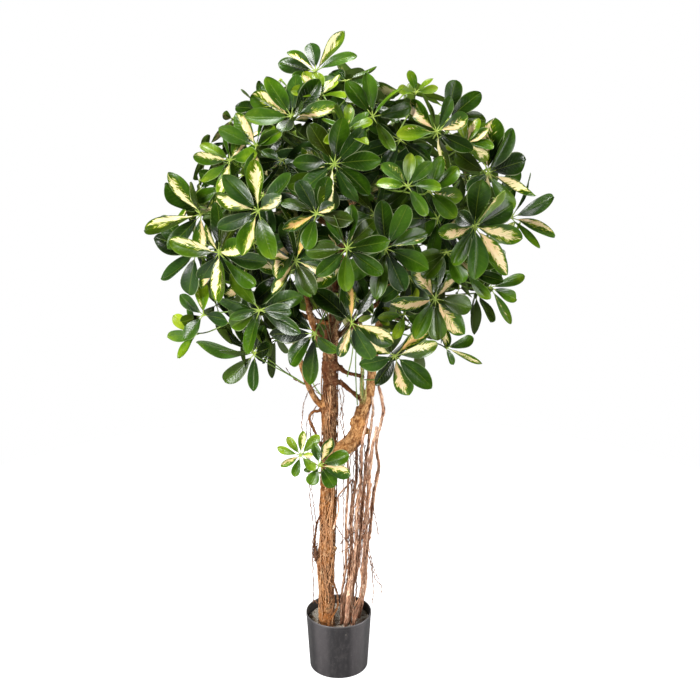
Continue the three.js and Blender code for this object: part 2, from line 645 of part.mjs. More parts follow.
// ---------------------------------------------------------------------------------------------
// Sprays: stem, stalks and leaves in one piece
// ---------------------------------------------------------------------------------------------
/** The bud of a spray: in from the middle of its leaves, towards the core of the crown. */
function budOf(leaves, depth) {
  const middle = leaves.reduce((sum, leaf) => sum.add(leaf.hub), vec(0, 0, 0)).divideScalar(leaves.length);
  const core = vec(10, 0, middle.z * 0.55 + 1000 * 0.45);
  return middle.lerp(core, depth);
}

/** Places on the boughs where a stem can leave. Each is used once. */
const stemPlaces = [LEADER, ...BRANCHES].flatMap((branch) => {
  const curve = new THREE.CatmullRomCurve3(branch.map(([x, y, z]) => vec(x, y, z)), false, "centripetal");
  const count = Math.floor(curve.getLength() / 12);
  return Array.from({ length: count }, (_, i) => curve.getPointAt((i + 1) / count));
});

/** The stalk of a leaf: from the bud to the hub, which it meets from behind. */
function stalk(bud, leaf, sides, grow = 0) {
  const bend = leaf.hub.clone().addScaledVector(leaf.facing, -STALK_APPROACH);
  const path = [bud, bend, leaf.hub].map((p) => [...p.toArray(), STALK_RADIUS]);
  return limb(path, sides, 1, grow);
}

const knob = (at, radius) =>
  solidFromGeometry(new THREE.OctahedronGeometry(radius).translate(...at.toArray()));

/** A spray's stem and the bud at its tip. */
function stemAndBud(place, bud, grow = 0) {
  const stem = [place, bud].map((p) => [...p.toArray(), STEM_RADIUS]);
  return limb(stem, 4, 1, grow).add(knob(bud, BUD_RADIUS + grow));
}

/** The room that a leaf's stalk and hub take up. */
const stalkSpace = (bud, leaf) => stalk(bud, leaf, 5, CLEARANCE * 3).add(knob(leaf.hub, HUB.room));

/** A bud for a spray and a place for its stem on a bough, clear of all that grew before it. */
function settleFrame(spray, taken, woodSpace) {
  for (const depth of BUD_DEPTHS) {
    const bud = spray.bud ?? budOf(spray.leaves, depth);
    stemPlaces.sort((a, b) => a.distanceToSquared(bud) - b.distanceToSquared(bud));
    const places = spray.place ? [spray.place] : stemPlaces.slice(0, STEM_CHOICES);
    for (const place of places) {
      const stem = stemAndBud(place, bud, CLEARANCE * 2).subtract(woodSpace);
      const stalks = spray.leaves.map((leaf) => ({ leaf, solid: stalkSpace(bud, leaf) }));
      if (stem.decompose().length > 1) continue;
      if (stalks.some(({ solid }) => !solid.intersect(woodSpace).isEmpty())) continue;
      const spaces = [{ solid: stem }, ...stalks];
      spaces.forEach((item) => (item.box = boxOf(item.solid)));
      const clear = ({ solid, box }) => taken.every((item) => item.wood || clearOf(solid, box, item));
      if (!spaces.every(clear)) continue;
      if (!spray.place) stemPlaces.splice(stemPlaces.indexOf(place), 1);
      return { place, bud, spaces };
    }
  }
  return undefined;
}

const clearOf = (solid, box, item) => !box.intersectsBox(item.box) || solid.intersect(item.solid).isEmpty();

/** Bends each leaflet clear of all that grew before it. One that can't be bent clear isn't grown. */
function settleLeaflets(spray, leaf, taken) {
  leaf.leaflets = [];
  for (const blade of leaf.blades) {
    for (const bend of BENDS) {
      const solid = leafletSpace(leaf, blade, bend);
      const box = boxOf(solid);
      if (!taken.every((item) => item.leaf === leaf || clearOf(solid, box, item))) continue;
      leaf.leaflets.push({ blade, angle: blade.angle, bend });
      taken.push({ spray, leaf, solid, box });
      break;
    }
  }
  // The leaf as a whole, with the web round its hub, sheds the leaflets that still cross something.
  const others = taken.filter((item) => !item.wood && item.spray !== spray);
  const wholeWith = (leaflets) => {
    const solid = leafSolid({ ...leaf, leaflets }, spray.bud);
    const box = boxOf(solid);
    return others.every((item) => clearOf(solid, box, item)) ? { spray, leaf, solid, box } : undefined;
  };
  while (leaf.leaflets.length > 2) {
    const whole = wholeWith(leaf.leaflets);
    if (whole) {
      taken.push(whole);
      return whole.solid;
    }
    const culprit = leaf.leaflets.findIndex((_, i) => wholeWith(leaf.leaflets.filter((_, k) => k !== i)));
    leaf.leaflets.splice(culprit, 1);
  }
  return undefined;
}

function growSprays() {
  const woodSpace = wood(CLEARANCE);
  const taken = [{ wood: true, solid: woodSpace }];
  LIANAS.forEach((liana) => taken.push({ solid: limb(liana, LIANA_SIDES, 1, CLEARANCE) }));
  taken.forEach((item) => (item.box = boxOf(item.solid)));
  const trunkLeaves = TRUNK_SPRAY.leaves.map((row, i) => listedLeaf(row, TRUNK_SPRAY.forward[i]));
  const trunkSpray = { bud: vec(...TRUNK_SPRAY.bud), place: vec(...TRUNK_SPRAY.root) };
  const listed = Object.entries(FRONT_SPRAYS);
  const sprays = [
    { name: "spray_trunk", leaves: trunkLeaves, ...trunkSpray },
    ...listed.map(([name, rows]) => ({ name, leaves: rows.map((row) => listedLeaf(row)) })),
    ...backSprays(),
  ];
  for (const spray of sprays) {
    let settled = settleFrame(spray, taken, woodSpace);
    while (!settled && spray.leaves.length > 1) {
      spray.leaves.pop();
      settled = settleFrame(spray, taken, woodSpace);
    }
    if (!settled) continue;
    spray.bud = settled.bud;
    spray.frame = stemAndBud(settled.place, settled.bud);
    taken.push(...settled.spaces.map((item) => ({ ...item, spray })));
  }
  const standing = sprays.filter((spray) => spray.frame);
  for (const spray of standing) {
    const grown = spray.leaves.map((leaf) => settleLeaflets(spray, leaf, taken)).filter(Boolean);
    spray.solid = largest(union([spray.frame, ...grown]).subtract(woodSpace));
  }
  return standing;
}

function boxOf(solid) {
  const { min, max } = solid.boundingBox();
  return new THREE.Box3(vec(...min), vec(...max));
}

// ---------------------------------------------------------------------------------------------
// The plant
// ---------------------------------------------------------------------------------------------
const materials = {
  plastic: new THREE.MeshStandardMaterial({ color: 0x3a393b, roughness: 0.5, metalness: 0 }),
  filler: new THREE.MeshStandardMaterial({ color: 0x8c857b, roughness: 0.95, metalness: 0 }),
  bark: new THREE.MeshStandardMaterial({ color: 0xa3703f, roughness: 0.85, metalness: 0 }),
  liana: new THREE.MeshStandardMaterial({ color: 0x9b6b55, roughness: 0.85, metalness: 0 }),
  leaf: new THREE.MeshStandardMaterial({ color: 0x2f5a1e, roughness: 0.4, metalness: 0 }),
};

const plant = new THREE.Group();
plant.add(meshOf("pot", pot(), materials.plastic));
plant.add(meshOf("filler", filler(), materials.filler));
plant.add(meshOf("trunk", wood(), materials.bark));
LIANAS.forEach((liana, i) => plant.add(meshOf(`liana_${i + 1}`, limb(liana, LIANA_SIDES), materials.liana)));
growSprays().forEach(({ name, solid }) => plant.add(meshOf(name, solid, materials.leaf)));

export default plant;
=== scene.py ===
# Potted umbrella plant: the looks of a variegated dwarf schefflera, grown as a small standard tree.
#
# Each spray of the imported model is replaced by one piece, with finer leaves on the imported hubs: curved,
# folded leaflets with their veins and their cream variegation, on green stalks. The wood, the lianas, the pot
# and the filler get pieces with their relief. Sizes are in millimetres, and meshes are made in metres.
import math

import bpy
import numpy as np
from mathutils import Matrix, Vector, noise
from mathutils.bvhtree import BVHTree
from mathutils.kdtree import KDTree


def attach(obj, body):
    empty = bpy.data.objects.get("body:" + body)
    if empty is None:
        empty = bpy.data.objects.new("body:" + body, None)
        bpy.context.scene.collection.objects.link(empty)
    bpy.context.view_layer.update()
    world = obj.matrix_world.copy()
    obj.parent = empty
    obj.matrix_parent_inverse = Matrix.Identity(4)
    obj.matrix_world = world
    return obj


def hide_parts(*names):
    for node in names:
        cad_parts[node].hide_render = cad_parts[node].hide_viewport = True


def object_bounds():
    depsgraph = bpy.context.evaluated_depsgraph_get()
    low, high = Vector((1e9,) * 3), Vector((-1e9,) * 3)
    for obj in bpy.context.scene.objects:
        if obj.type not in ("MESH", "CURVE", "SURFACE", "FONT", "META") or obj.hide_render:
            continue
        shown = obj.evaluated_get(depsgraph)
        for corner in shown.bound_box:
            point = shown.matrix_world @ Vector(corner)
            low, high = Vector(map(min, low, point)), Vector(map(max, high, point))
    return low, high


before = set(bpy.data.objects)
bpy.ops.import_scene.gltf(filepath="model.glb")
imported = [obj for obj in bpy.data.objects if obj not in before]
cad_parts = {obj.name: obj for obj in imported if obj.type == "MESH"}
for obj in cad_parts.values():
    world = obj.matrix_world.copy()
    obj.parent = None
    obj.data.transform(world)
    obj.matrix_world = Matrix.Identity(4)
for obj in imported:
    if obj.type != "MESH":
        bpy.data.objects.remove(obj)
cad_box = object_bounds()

MM = 0.001
BOX_LOW, BOX_HIGH = (np.array(corner) / MM for corner in cad_box)
SEEDS = {"filler": 12, "wood": 21, "strands": 31, "lianas": 50, "sprays": 100, "noise": 1795553774}
noise.seed_set(SEEDS["noise"])  # or noise_vector, which bends the lianas, would differ from run to run

# ---------------------------------------------------------------------------------------------
# Driving dimensions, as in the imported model
# ---------------------------------------------------------------------------------------------
POT = {"height": 138, "rim": 75, "foot": 66.8, "wall": 2, "floor": 3}
FILL = {"level": 116, "dome": 3, "wall_gap": 0.6}
CROWN_MIDDLE = np.array([20.0, 0, 1045])
CROWN_HALF = np.array([340.0, 295, 320])
VIEWPOINT = np.array([26.0, -2469, 1572])
SIGHT_SLOPE = 18  # degrees that the line of sight looks down
OUTWARD_TURN, OUTWARD_CUP = 0.1, 0.5
LEAST_SPACING = 37
MIDRIB_AT, KEEL, ARCH, BLADE = 0.56, 0.035, 0.07, 2.4
HUB_HEIGHT, STALK_APPROACH, BUD_RADIUS = 3, 42, 5
BUD_DEPTHS = [0.4, 0.48, 0.32, 0.56, 0.26, 0.64, 0.2]
BENDS = [0, 9, -9, 18, -18, 27, -27, 36, 45, -36]
GOLDEN_ANGLE = 137.508
BACK = {
    "seed": 7, "sprays": 30, "reach": 1.72, "first_front": 10, "leaves": 4, "spread": 88, "leaflets": 5,
    "length": 96, "tip": 8, "tip_share": 0.6, "rise": 8, "wander": 18, "unevenness": 10,
}

# ---------------------------------------------------------------------------------------------
# Leaves: what this scene adds to them
# ---------------------------------------------------------------------------------------------
ROWS, COLUMNS = 15, 9  # points of a leaflet, along it and across it
BLADE_FROM, BLADE_TO = 0.12, 0.99  # of the length: nearer the hub it is a thin stalk
STAR_TONE = 0.66  # of the short stalks where the leaflets meet
SHORT_LEAFLET = 74  # below this length leaflets are rounder
LEAST_CUT = 0.35  # a leaflet cut shorter than this is left out
TILT, ROLL, TWIST = 11, 24, 32  # degrees: the spread of a leaflet's tilt and of its roll, and its most twist
BEND_KEPT = 0.55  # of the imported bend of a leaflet
MISSING = {"length": 0.65, "bend": 35}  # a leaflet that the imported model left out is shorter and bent
SMALL = {"length": 0.72, "bend": 16}  # and so is a small one between the others
TONE_SPREAD = 0.12  # by which the tones of a leaf's leaflets differ
CREAM_SIDES = (-0.55, -0.36, 0, 0.36, 0.55)  # where across a leaflet its cream may lie
BACK_CREAM_SHARE = 0.24
BACK_TRIM = {"from": 0.95, "slope": 8}  # back leaflets that are seen past this share of the crown are cut
INNER = {
    "seed": 4, "leaves": 64, "pieces": 6, "depths": (0.58, 0.8), "lengths": (72, 104), "cream_share": 0.12,
    "lowest": -0.46,
}
# Where more inner leaves stand: low in the crown, then near its top.
MORE_HUBS = [
    (-215, 45, 795), (-140, 60, 790), (-165, 10, 850), (-262, 40, 860),
    (165, 45, 805), (225, 60, 835), (190, 0, 870), (298, 40, 885),
    (30, 50, 1285), (-60, 70, 1255), (120, 70, 1250),
]

# The front leaves, as they are seen: where the hub is (across, up), its layer of the crown, the leaflets'
# length, how far the leaf tips up, how far its leaflets rise, its tone from old (0) to young (1), and its
# leaflets. A leaflet is its angle, anticlockwise from the right, then after a : its own length, and its look:
# c cream, o cream turned orange, p with pale flecks, d darker, b brighter. A leaflet with a + is small and
# fills in between the others. A number after a / is how long it is drawn, as a percentage of the packed
# leaflet, and a number after a * is its width, as a percentage of the usual one.
FRONT_SPRAYS = {
    "spray_top": [
        (-42, 1355, 1, 80, 45, 15, 0.42, "171d 142*80c 96 48:104*68c 17:88*85 215:55d"),
        (-33, 1306, 1.05, 60, 50, 28, 0.75, "165 135c 100 60 25c 350"),
        (18, 1336, 0.9, 72, 55, 10, 0.3, "175 120 30 345"),
    ],
    "spray_top_left": [
        (-92, 1265, 1.02, 96, 40, 18, 0.35, "180 150c 115 85 55 25c +345d +260d"),
        (-150, 1280, 0.85, 66, 45, 10, 0.4, "170 205 130c 90"),
        (-72, 1230, 0.84, 76, 25, 0, 0.2, "265 205 320"),
    ],
    "spray_left_high": [
        (-165, 1205, 1.02, 85, 30, 14, 0.44, "160 121c 75 38c 2 270c +30b"),
        (-218, 1177, 1.04, 76, 25, 6, 0.62, "145 105 60c 184c 222 262c 5"),
    ],
    "spray_top_right": [
        (72, 1265, 1.02, 90, 35, 14, 0.38, "135 98 55b 12 300d 200d"),
        (82, 1312, 0.92, 66, 55, 28, 0.42, "115p 75 38 160 0"),
        (20, 1238, 1.06, 58, 38, 24, 0.6, "155 118 80p 45 8 215 325"),
    ],
    "spray_right_high": [
        (201, 1235, 1.04, 85, 22, 6, 0.4, "137c 100 62 25c 331d 287c 185p"),
        (222, 1256, 0.88, 90, 35, 10, 0.3, "80 43 5"),
        (158, 1313, 0.95, 46, 50, 28, 0.6, "33 350 120 190"),
    ],
    "spray_right_shoulder": [
        (263, 1210, 1.03, 56, 25, 18, 0.66, "80c 40c 0 322c 190 118"),
        (308, 1151, 1, 108, 12, 2, 0.4, "84:116c 50 18d 352:122c 322:96 166:84d 202:84d 246:60c +67d"),
    ],
    "spray_far_right": [
        (360, 1058, 0.96, 104, 12, 4, 0.4, "98:100c 55 22:110 350:112c 312:90"),
        (330, 1098, 0.8, 80, 18, 0, 0.3, "180 230 60"),
    ],
    "spray_right": [
        (284, 1040, 1.05, 110, 8, 2, 0.4, "98 61c 22d 350:115c 312:133c 272:112 236:96 195:84c +163d"),
        (298, 996, 0.88, 90, 5, -4, 0.3, "315 270 200"),
    ],
    "spray_right_middle": [
        (145, 1123, 1.08, 72, 22, 14, 0.52, "130p 91 51 171p 11 295d"),
        (188, 1113, 1, 80, 18, 8, 0.6, "73 32 350p 312 120"),
        (128, 1218, 0.88, 82, 22, 4, 0.2, "200 240 160 320 20"),
    ],
    "spray_heart_high": [
        (-6, 1170, 1.04, 96, 12, 2, 0.33, "118 81 44 7 330 293 250c 213 176"),
        (-112, 1178, 0.82, 80, 15, 0, 0.3, "200 240 150 300 20"),
    ],
    "spray_heart": [
        (-43, 1066, 1.03, 82, 10, 4, 0.3, "152d 115d 75 35c 205o 345d 250"),
        (-36, 1122, 0.78, 80, 10, 0, 0.2, "270 225 315 150"),
    ],
    "spray_heart_low": [
        (20, 993, 1.06, 92, 10, 2, 0.34, "125 88 48 8 184 225 265 320"),
        (66, 1104, 0.78, 76, 10, 0, 0.2, "300 250 10 170"),
    ],
    "spray_heart_right": [
        (100, 993, 1.02, 106, 10, 2, 0.34, "98 61 24p 340 295 256 218 181"),
        (152, 932, 0.84, 84, 5, -6, 0.25, "300 260 220 340"),
    ],
    "spray_left_middle": [
        (-163, 1073, 1.04, 105, 10, 2, 0.4, "93c 130d 167c 204d 241c 289 50 +28c"),
        (-226, 1122, 0.86, 82, 15, 2, 0.35, "150 110 200 60"),
    ],
    "spray_far_left": [
        (-282, 1065, 1, 110, 10, 4, 0.32, "127:112*80c 157:126*78d 187:138*62c 217:104*85 86:92d 264:84c 30c"),
    ],
    "spray_left": [
        (-248, 984, 1.04, 104, 4, 0, 0.35, "165:110c 128:70c 91d 54d 18c 342 306 269:112c 230"),
        (-297, 982, 0.9, 112, 0, -4, 0.2, "165:114 132 204 254"),
    ],
    "spray_left_low": [
        (-165, 859, 1.02, 103, 2, -2, 0.38, "172 209 245 335d 25 125 +190 +0d"),
        (-88, 966, 0.98, 90, 6, 0, 0.35, "110d 65o 25d 348c 161c 229c 275 312d"),
    ],
    "spray_low_left": [
        (
            -178, 762, 0.96, 108, -2, -2, 0.34,
            "187:140/128*64 150:112/112*76 224*95 273/76*88d 110:96*80d 70:84*80d +168 +30d",
        ),
    ],
    "spray_front_low": [
        (-48, 808, 1, 102, -4, -4, 0.34, "221*114 258/145*64 295/84*112b 184d 147d"),
        (22, 906, 0.6, 80, 0, -4, 0.15, "250 300 60 120"),
    ],
    "spray_middle_low": [
        (30, 831, 1.03, 108, 2, -2, 0.35, "98/82*105o 138d 48d 251/80*88c 292*116 335*98c"),
        (78, 848, 0.88, 40, 10, 10, 0.8, "120 200 330 30"),
    ],
    "spray_low_right": [
        (123, 757, 1, 110, 0, -4, 0.35, "160c 205/72d 245/76d 282c 323 5c 42o"),
        (232, 775, 0.92, 98, 5, -2, 0.42, "338*38c 15/66 300/45"),
    ],
    "spray_right_low": [
        (206, 884, 1.03, 100, 4, -2, 0.35, "82:92d 45c 127c 195c 232 350d 312:116c 274"),
        (142, 850, 0.94, 60, 10, 8, 0.7, "66b 190 330 250 120"),
    ],
    "spray_right_edge": [
        (268, 946, 1, 86, 5, -4, 0.4, "307*78b 345*85d 200 160 20"),
        (322, 908, 0.94, 90, 5, -4, 0.45, "343/112*72 306*62p 20/90*84 90"),
    ],
    "spray_right_inner": [
        (208, 1056, 0.9, 92, 12, 0, 0.25, "305 265 120 60 180"),
        (228, 985, 0.98, 76, 8, 0, 0.4, "190 227 340c 20 300"),
    ],
    "spray_left_edge": [
        (-302, 806, 1, 76, 8, 2, 0.62, "188 225b 150 110"),
        (-285, 848, 0.96, 68, 8, 2, 0.4, "134 90p 201d 240 350"),
    ],
}
TRUNK_SPRAY = {
    "bud": [-50, -52, 505],
    "forward": [-70, -78],
    "leaves": [
        (
            -83, 525, 1, 58, 20, 4, 0.72,
            "164/96*95b 125/90*95b 88/98*90c 50/108*100 212/90*90c 254/88*105 315/80*120 5/60*90c",
        ),
        (
            -42, 502, 1, 72, 15, 2, 0.45,
            "63/96*105c 100/72*100d 20/96*130d 343*110c 306/90*145 247/72*150 163/48*100c 205/54*90",
        ),
    ],
    "stalk": 0.16,
}
# How each look changes a leaflet: its tone, and how much of it is cream.
NOT_CREAM = -2
LOOKS = {
    "": (0, NOT_CREAM), "d": (-0.2, NOT_CREAM), "b": (0.16, NOT_CREAM), "p": (0.08, 0.25), "c": (0, 1),
    "o": (0, 1.4),
}
ORANGE_FROM = 1.1  # of that cream: above it a leaflet is narrower and more twisted

# ---------------------------------------------------------------------------------------------
# Wood and lianas: stations [x, y, z, radius] along each limb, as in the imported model
# ---------------------------------------------------------------------------------------------
TRUNK = [
    [-27, -27, 14, 19], [-27, -27, 118, 19.5], [-28, -26, 215, 18], [-28, -25, 290, 21], [-24, -22, 345, 18.5],
    [-23, -21, 410, 19.5], [-20, -18, 500, 18], [-18, -15, 600, 18.5], [-18, -12, 700, 18],
    [-16, -8, 770, 17.5],
    [-8, -4, 850, 13], [2, 0, 950, 10.5], [10, 4, 1060, 8.5], [14, 6, 1150, 6],
]
FORK = [
    [-15, -20, 538, 14], [5, -20, 547, 17], [25, -20, 561, 19], [40, -20, 583, 18.5], [47, -19, 613, 16.5],
    [51, -18, 645, 11],
]
PALE_STEM = [
    [50, -19, 632, 8.5], [52, -18, 662, 5.2], [52, -16, 705, 4.6], [55, -12, 760, 4.5], [48, -30, 840, 4.5],
]
BROWN_STEM = [
    [52, -18, 625, 12], [66, -15, 665, 10.5], [72, -11, 708, 10], [77, -6, 760, 9], [92, 0, 850, 7.5],
    [125, 12, 950, 6],
]
LEFT_BRANCH = [
    [-28, -14, 640, 8.5], [-46, -16, 660, 6.6], [-62, -18, 693, 6.2], [-74, -16, 730, 6], [-92, -10, 790, 5.6],
    [-130, 0, 880, 4.8],
]
FRONT_BRANCH = [[-20, -14, 765, 9], [-38, -50, 812, 7], [-58, -72, 880, 6], [-66, -95, 950, 5]]
TWIGS = [
    [[-8, -12, 742, 9], [14, -14, 726, 4.5], [34, -15, 720, 4], [54, -15, 716, 4]],
    [[-8, -12, 708, 6], [14, -14, 694, 5], [34, -17, 678, 4.5], [51, -18, 663, 5]],
    [
        [-34, -18, 640, 4], [-56, -22, 634, 3.4], [-63, -24, 621, 3.2], [-52, -24, 596, 3.2],
        [-42, -22, 568, 3.2], [-32, -20, 548, 3],
    ],
    [[-42, -28, 392, 2.4], [-50, -32, 358, 2.6], [-52, -32, 312, 2.8], [-45, -30, 278, 2.6]],
    [
        [-14, -34, 240, 2.4], [-3, -40, 205, 2.3], [-1, -46, 178, 2.3], [-9, -51, 158, 2.4],
        [-20, -53, 142, 2.5], [-23, -53, 95, 2.6],
    ],
]
LEADER = TRUNK[-5:]
BOUGHS = {"count": 9, "first": 40, "turn": 137.5, "lowest": 800, "rise": 38, "reach": 150, "lift": 70}
BOUGH_ROOT, BOUGH_TIP = 6.5, 4

LIANAS = [
    [
        [5, -24, 30, 3.6], [6, -24, 116, 3.6], [8, -25, 160, 3.6], [9, -27, 210, 3.5], [15, -29, 258, 3.5],
        [17, -30, 310, 3.5], [17, -29, 360, 3.4], [18, -28, 410, 3.4], [21, -27, 450, 3.2], [22, -30, 500, 3],
        [20, -32, 536, 2.6], [18, -32, 550, 2.2],
    ],
    [
        [10, -10, 30, 4.6], [10, -10, 116, 4.6], [14, -12, 160, 4.6], [20, -14, 210, 4.5], [27, -16, 258, 4.4],
        [29, -17, 310, 4.5], [28, -17, 360, 4.4], [31, -17, 410, 4.3], [38, -18, 460, 4.2], [41, -20, 508, 4],
        [40, -22, 546, 3.6], [41, -23, 568, 3],
    ],
    [
        [16, -34, 30, 5], [16, -34, 116, 5], [19, -34, 160, 5], [25, -34, 210, 5], [34, -34, 258, 5],
        [39, -35, 310, 5], [40, -34, 360, 4.8], [42, -34, 410, 4.8], [49, -33, 460, 4.6], [51, -33, 508, 4.4],
        [51, -34, 552, 4], [55, -33, 585, 3.6], [62, -29, 615, 3.2], [67, -24, 642, 2.4],
    ],
    [
        [25, -17, 30, 5], [25, -17, 116, 5], [29, -16, 160, 5], [34, -14, 210, 5], [42, -13, 258, 5],
        [47, -13, 310, 5], [51, -13, 360, 4.8], [54, -12, 410, 4.8], [58, -12, 460, 4.6], [61, -13, 508, 4.6],
        [66, -16, 560, 4.4], [73, -22, 610, 4], [76, -26, 645, 3.4], [74, -23, 672, 2.6],
    ],
    [
        [33, -34, 30, 5.5], [34, -33, 116, 5.5], [43, -30, 160, 5.5], [55, -25, 192, 5.5], [54, -26, 225, 5.2],
        [54, -28, 260, 5.2], [59, -30, 310, 5.4], [62, -30, 360, 5.2], [64, -30, 410, 5], [67, -30, 460, 5],
        [70, -30, 508, 4.8], [75, -33, 560, 4.6], [84, -34, 606, 4],
    ],
    [
        [45, 4, 30, 4.6], [46, 4, 116, 4.6], [54, 0, 165, 4.6], [62, -6, 210, 4.4], [62, -10, 260, 4.4],
        [66, -12, 310, 4.6], [72, -13, 360, 4.6], [76, -14, 410, 4.6], [79, -14, 440, 4.6], [86, -13, 480, 4.6],
        [89, -14, 508, 4.6], [84, -14, 545, 4.4], [86, -14, 575, 4.4], [93, -14, 605, 4.4], [99, -14, 640, 4.6],
        [94, -12, 668, 4.2], [88, -8, 692, 3.6], [82, -8, 716, 2.8],
    ],
]
# A liana's foot is darkened by painted shade.
FOOT_SHADE = {2: 0.4, 5: 0.9, 6: 0.7}  # how much darker a liana is at its foot
SIDE_ROOT = [
    [30, -30, 480], [22, -30, 468], [10, -32, 455], [0, -33, 441], [1, -36, 411], [-5, -38, 388],
    [-11, -38, 364],
]
# Hair-fine roots that hang from the wood: stations [x, y, z], all of the same thickness.
FINE_ROOTS = [
    [[-38, -22, 702], [-60, -26, 689], [-72, -26, 663], [-77, -26, 630], [-79, -26, 590]],
    [[-46, -22, 650], [-66, -26, 620], [-68, -24, 570], [-64, -26, 520], [-66, -28, 478], [-57, -30, 442]],
    [[-52, -22, 640], [-60, -30, 600], [-58, -34, 555], [-62, -32, 510], [-58, -30, 455]],
    [[-57, -30, 442], [-52, -32, 401], [-50, -34, 369], [-52, -36, 330]],
    [[-64, -30, 450], [-60, -34, 410], [-55, -36, 360], [-58, -38, 300], [-56, -36, 230], [-58, -34, 176]],
    [[-111, -25, 738], [-96, -24, 715], [-72, -22, 699], [-51, -20, 686], [-36, -18, 672]],
    [[3, -24, 690], [7, -27, 643], [4, -26, 620], [10, -27, 597], [14, -28, 577]],
    [[6, -22, 712], [12, -26, 670], [9, -26, 640], [13, -28, 600], [15, -26, 560]],
    [[60, -29, 315], [71, -33, 282], [77, -31, 240], [79, -30, 202], [77, -28, 172]],
    [[63, -30, 311], [75, -34, 273], [84, -34, 236], [97, -31, 219], [98, -29, 200]],
    [[66, -30, 330], [72, -33, 296], [80, -34, 262], [90, -32, 236]],
    [[76, -16, 432], [80, -20, 394], [86, -22, 366], [89, -20, 340]],
    [[-5, -36, 372], [13, -40, 343], [22, -40, 331]],
    [[37, -34, 355], [13, -40, 339], [2, -40, 326]],
    [[2, -40, 306], [22, -42, 320], [33, -38, 328]],
    [[22, -30, 470], [12, -34, 452], [4, -34, 440]],
    [
        [41, -28, 545], [33, -34, 500], [36, -38, 440], [31, -38, 380], [33, -40, 300], [27, -40, 220],
        [20, -42, 160],
    ],
    [
        [60, -24, 560], [57, -34, 500], [60, -38, 430], [56, -38, 360], [58, -38, 290], [50, -36, 210],
        [36, -40, 150],
    ],
    [
        [14, -34, 520], [11, -38, 470], [12, -36, 400], [9, -36, 340], [11, -34, 260], [5, -32, 190],
        [4, -34, 120],
    ],
    [[48, -28, 556], [46, -36, 510], [50, -40, 450], [47, -40, 390], [49, -42, 330], [42, -42, 250]],
    [[56, -26, 566], [62, -36, 520], [58, -40, 470], [63, -40, 410], [60, -40, 350], [55, -40, 280]],
    [[28, -30, 552], [26, -38, 500], [30, -40, 450], [25, -40, 400], [27, -42, 330], [20, -42, 250]],
    [[-57, -35, 185], [-46, -36, 176], [-40, -38, 163]],
]
# Long green stalks that show below the crown: stations [x, y, z].
LOW_STALKS = [
    [[-64, -18, 694], [-90, -24, 714], [-114, -28, 731], [-144, -33, 757], [-172, -36, 772]],
    [[-68, -20, 697], [-108, -30, 726], [-144, -35, 749], [-174, -38, 770]],
    [[57, -16, 708], [76, -34, 714], [100, -58, 734], [116, -84, 774]],
    [[42, -22, 652], [39, -26, 700], [38, -28, 756], [40, -30, 800]],
    [[54, -20, 668], [51, -26, 704], [55, -28, 742], [52, -30, 790]],
    [[-36, -18, 672], [-52, -24, 700], [-62, -26, 740], [-70, -30, 800]],
    [[20, -20, 716], [28, -28, 752], [34, -32, 800]],
]
RISING_STALKS = 46
STRANDS_BETWEEN = 26
SHORT_STRANDS = 180
# Long strands that climb the trunk: from and to height, angle round it, slant, radius, how proud they stand.
CLINGING = [
    (560, 700, 262, 10, 1.0, 1.8), (540, 690, 285, -12, 0.9, 1.6), (590, 690, 250, 14, 1.0, 1.8),
    (330, 540, 250, -20, 1.2, 1.2), (290, 520, 292, 24, 1.4, 1.6), (400, 640, 235, 18, 1.0, 0.8),
    (120, 330, 215, 30, 1.4, 1.0), (220, 560, 330, -28, 1.3, 1.4), (560, 740, 345, 10, 1.2, 1.2),
    (150, 420, 190, 26, 1.4, 1.2), (500, 740, 175, -20, 1.3, 1.2), (200, 600, 90, 30, 1.4, 1.2),
    (140, 500, 40, -28, 1.3, 1.2), (300, 480, 262, 26, 1.2, 1.8), (250, 400, 275, -36, 1.1, 1.6),
    (160, 290, 262, 50, 1.0, 1.2), (180, 330, 300, -60, 1.1, 1.2), (320, 460, 285, -40, 1.2, 1.8),
]
# Knots and lumps on the wood: x, y, z, radius.
KNOTS = [
    [-11, -32, 314, 8], [-14, -36, 300, 7], [-43, -28, 300, 7], [-42, -34, 286, 6], [-20, -36, 352, 6],
    [-36, -34, 232, 6], [-17, -36, 196, 6],
    [-38, -26, 150, 7], [31, -24, 610, 6], [34, -24, 618, 8], [44, -30, 604, 10], [24, -28, 566, 9],
    [36, -32, 578, 10], [60, -22, 592, 8], [54, -26, 634, 7], [-8, -20, 640, 8], [-32, -22, 644, 8],
    [-7, -18, 700, 7], [-7, -16, 738, 9], [-30, -20, 560, 6], [-14, -32, 420, 6], [-34, -34, 460, 5],
    [68, -22, 660, 6], [76, -10, 700, 5],
]
TANGLE = {"middle": (-51, -33, 302), "reach": (5, 4, 16), "strands": 22}
CREAM_ROOT = [[48, -34, 566], [30, -40, 545], [16, -40, 528], [4, -38, 510]]

# Relief of bark: layers of noise, each with its size across the grain, its size along it and its height.
WOOD_RELIEF = [(22, 50, 3.4), (7, 14, 1.8), (3, 6, 1.5), (10, 11, 2.0)]
LIANA_RELIEF = [(3, 26, 0.6), (1.5, 14, 0.4), (4, 5, 0.6)]
# Splits in bark: layers with their size across, their size along and their width, then how deep they are.
WOOD_SPLITS, WOOD_SPLIT_DEPTH = [(8, 20, 0.06), (4, 8, 0.06), (12, 12, 0.06)], 1.7
LIANA_SPLITS, LIANA_SPLIT_DEPTH = [(3, 22, 0.12), (5, 9, 0.06)], 0.5
SPLIT_AREAS = [(24, 70, 2.4)]  # a layer of noise that keeps deep splits to some places
VOXEL = 1.75  # of the wood's skin
TRUNK_SLIM = 0.91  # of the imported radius, under the relief
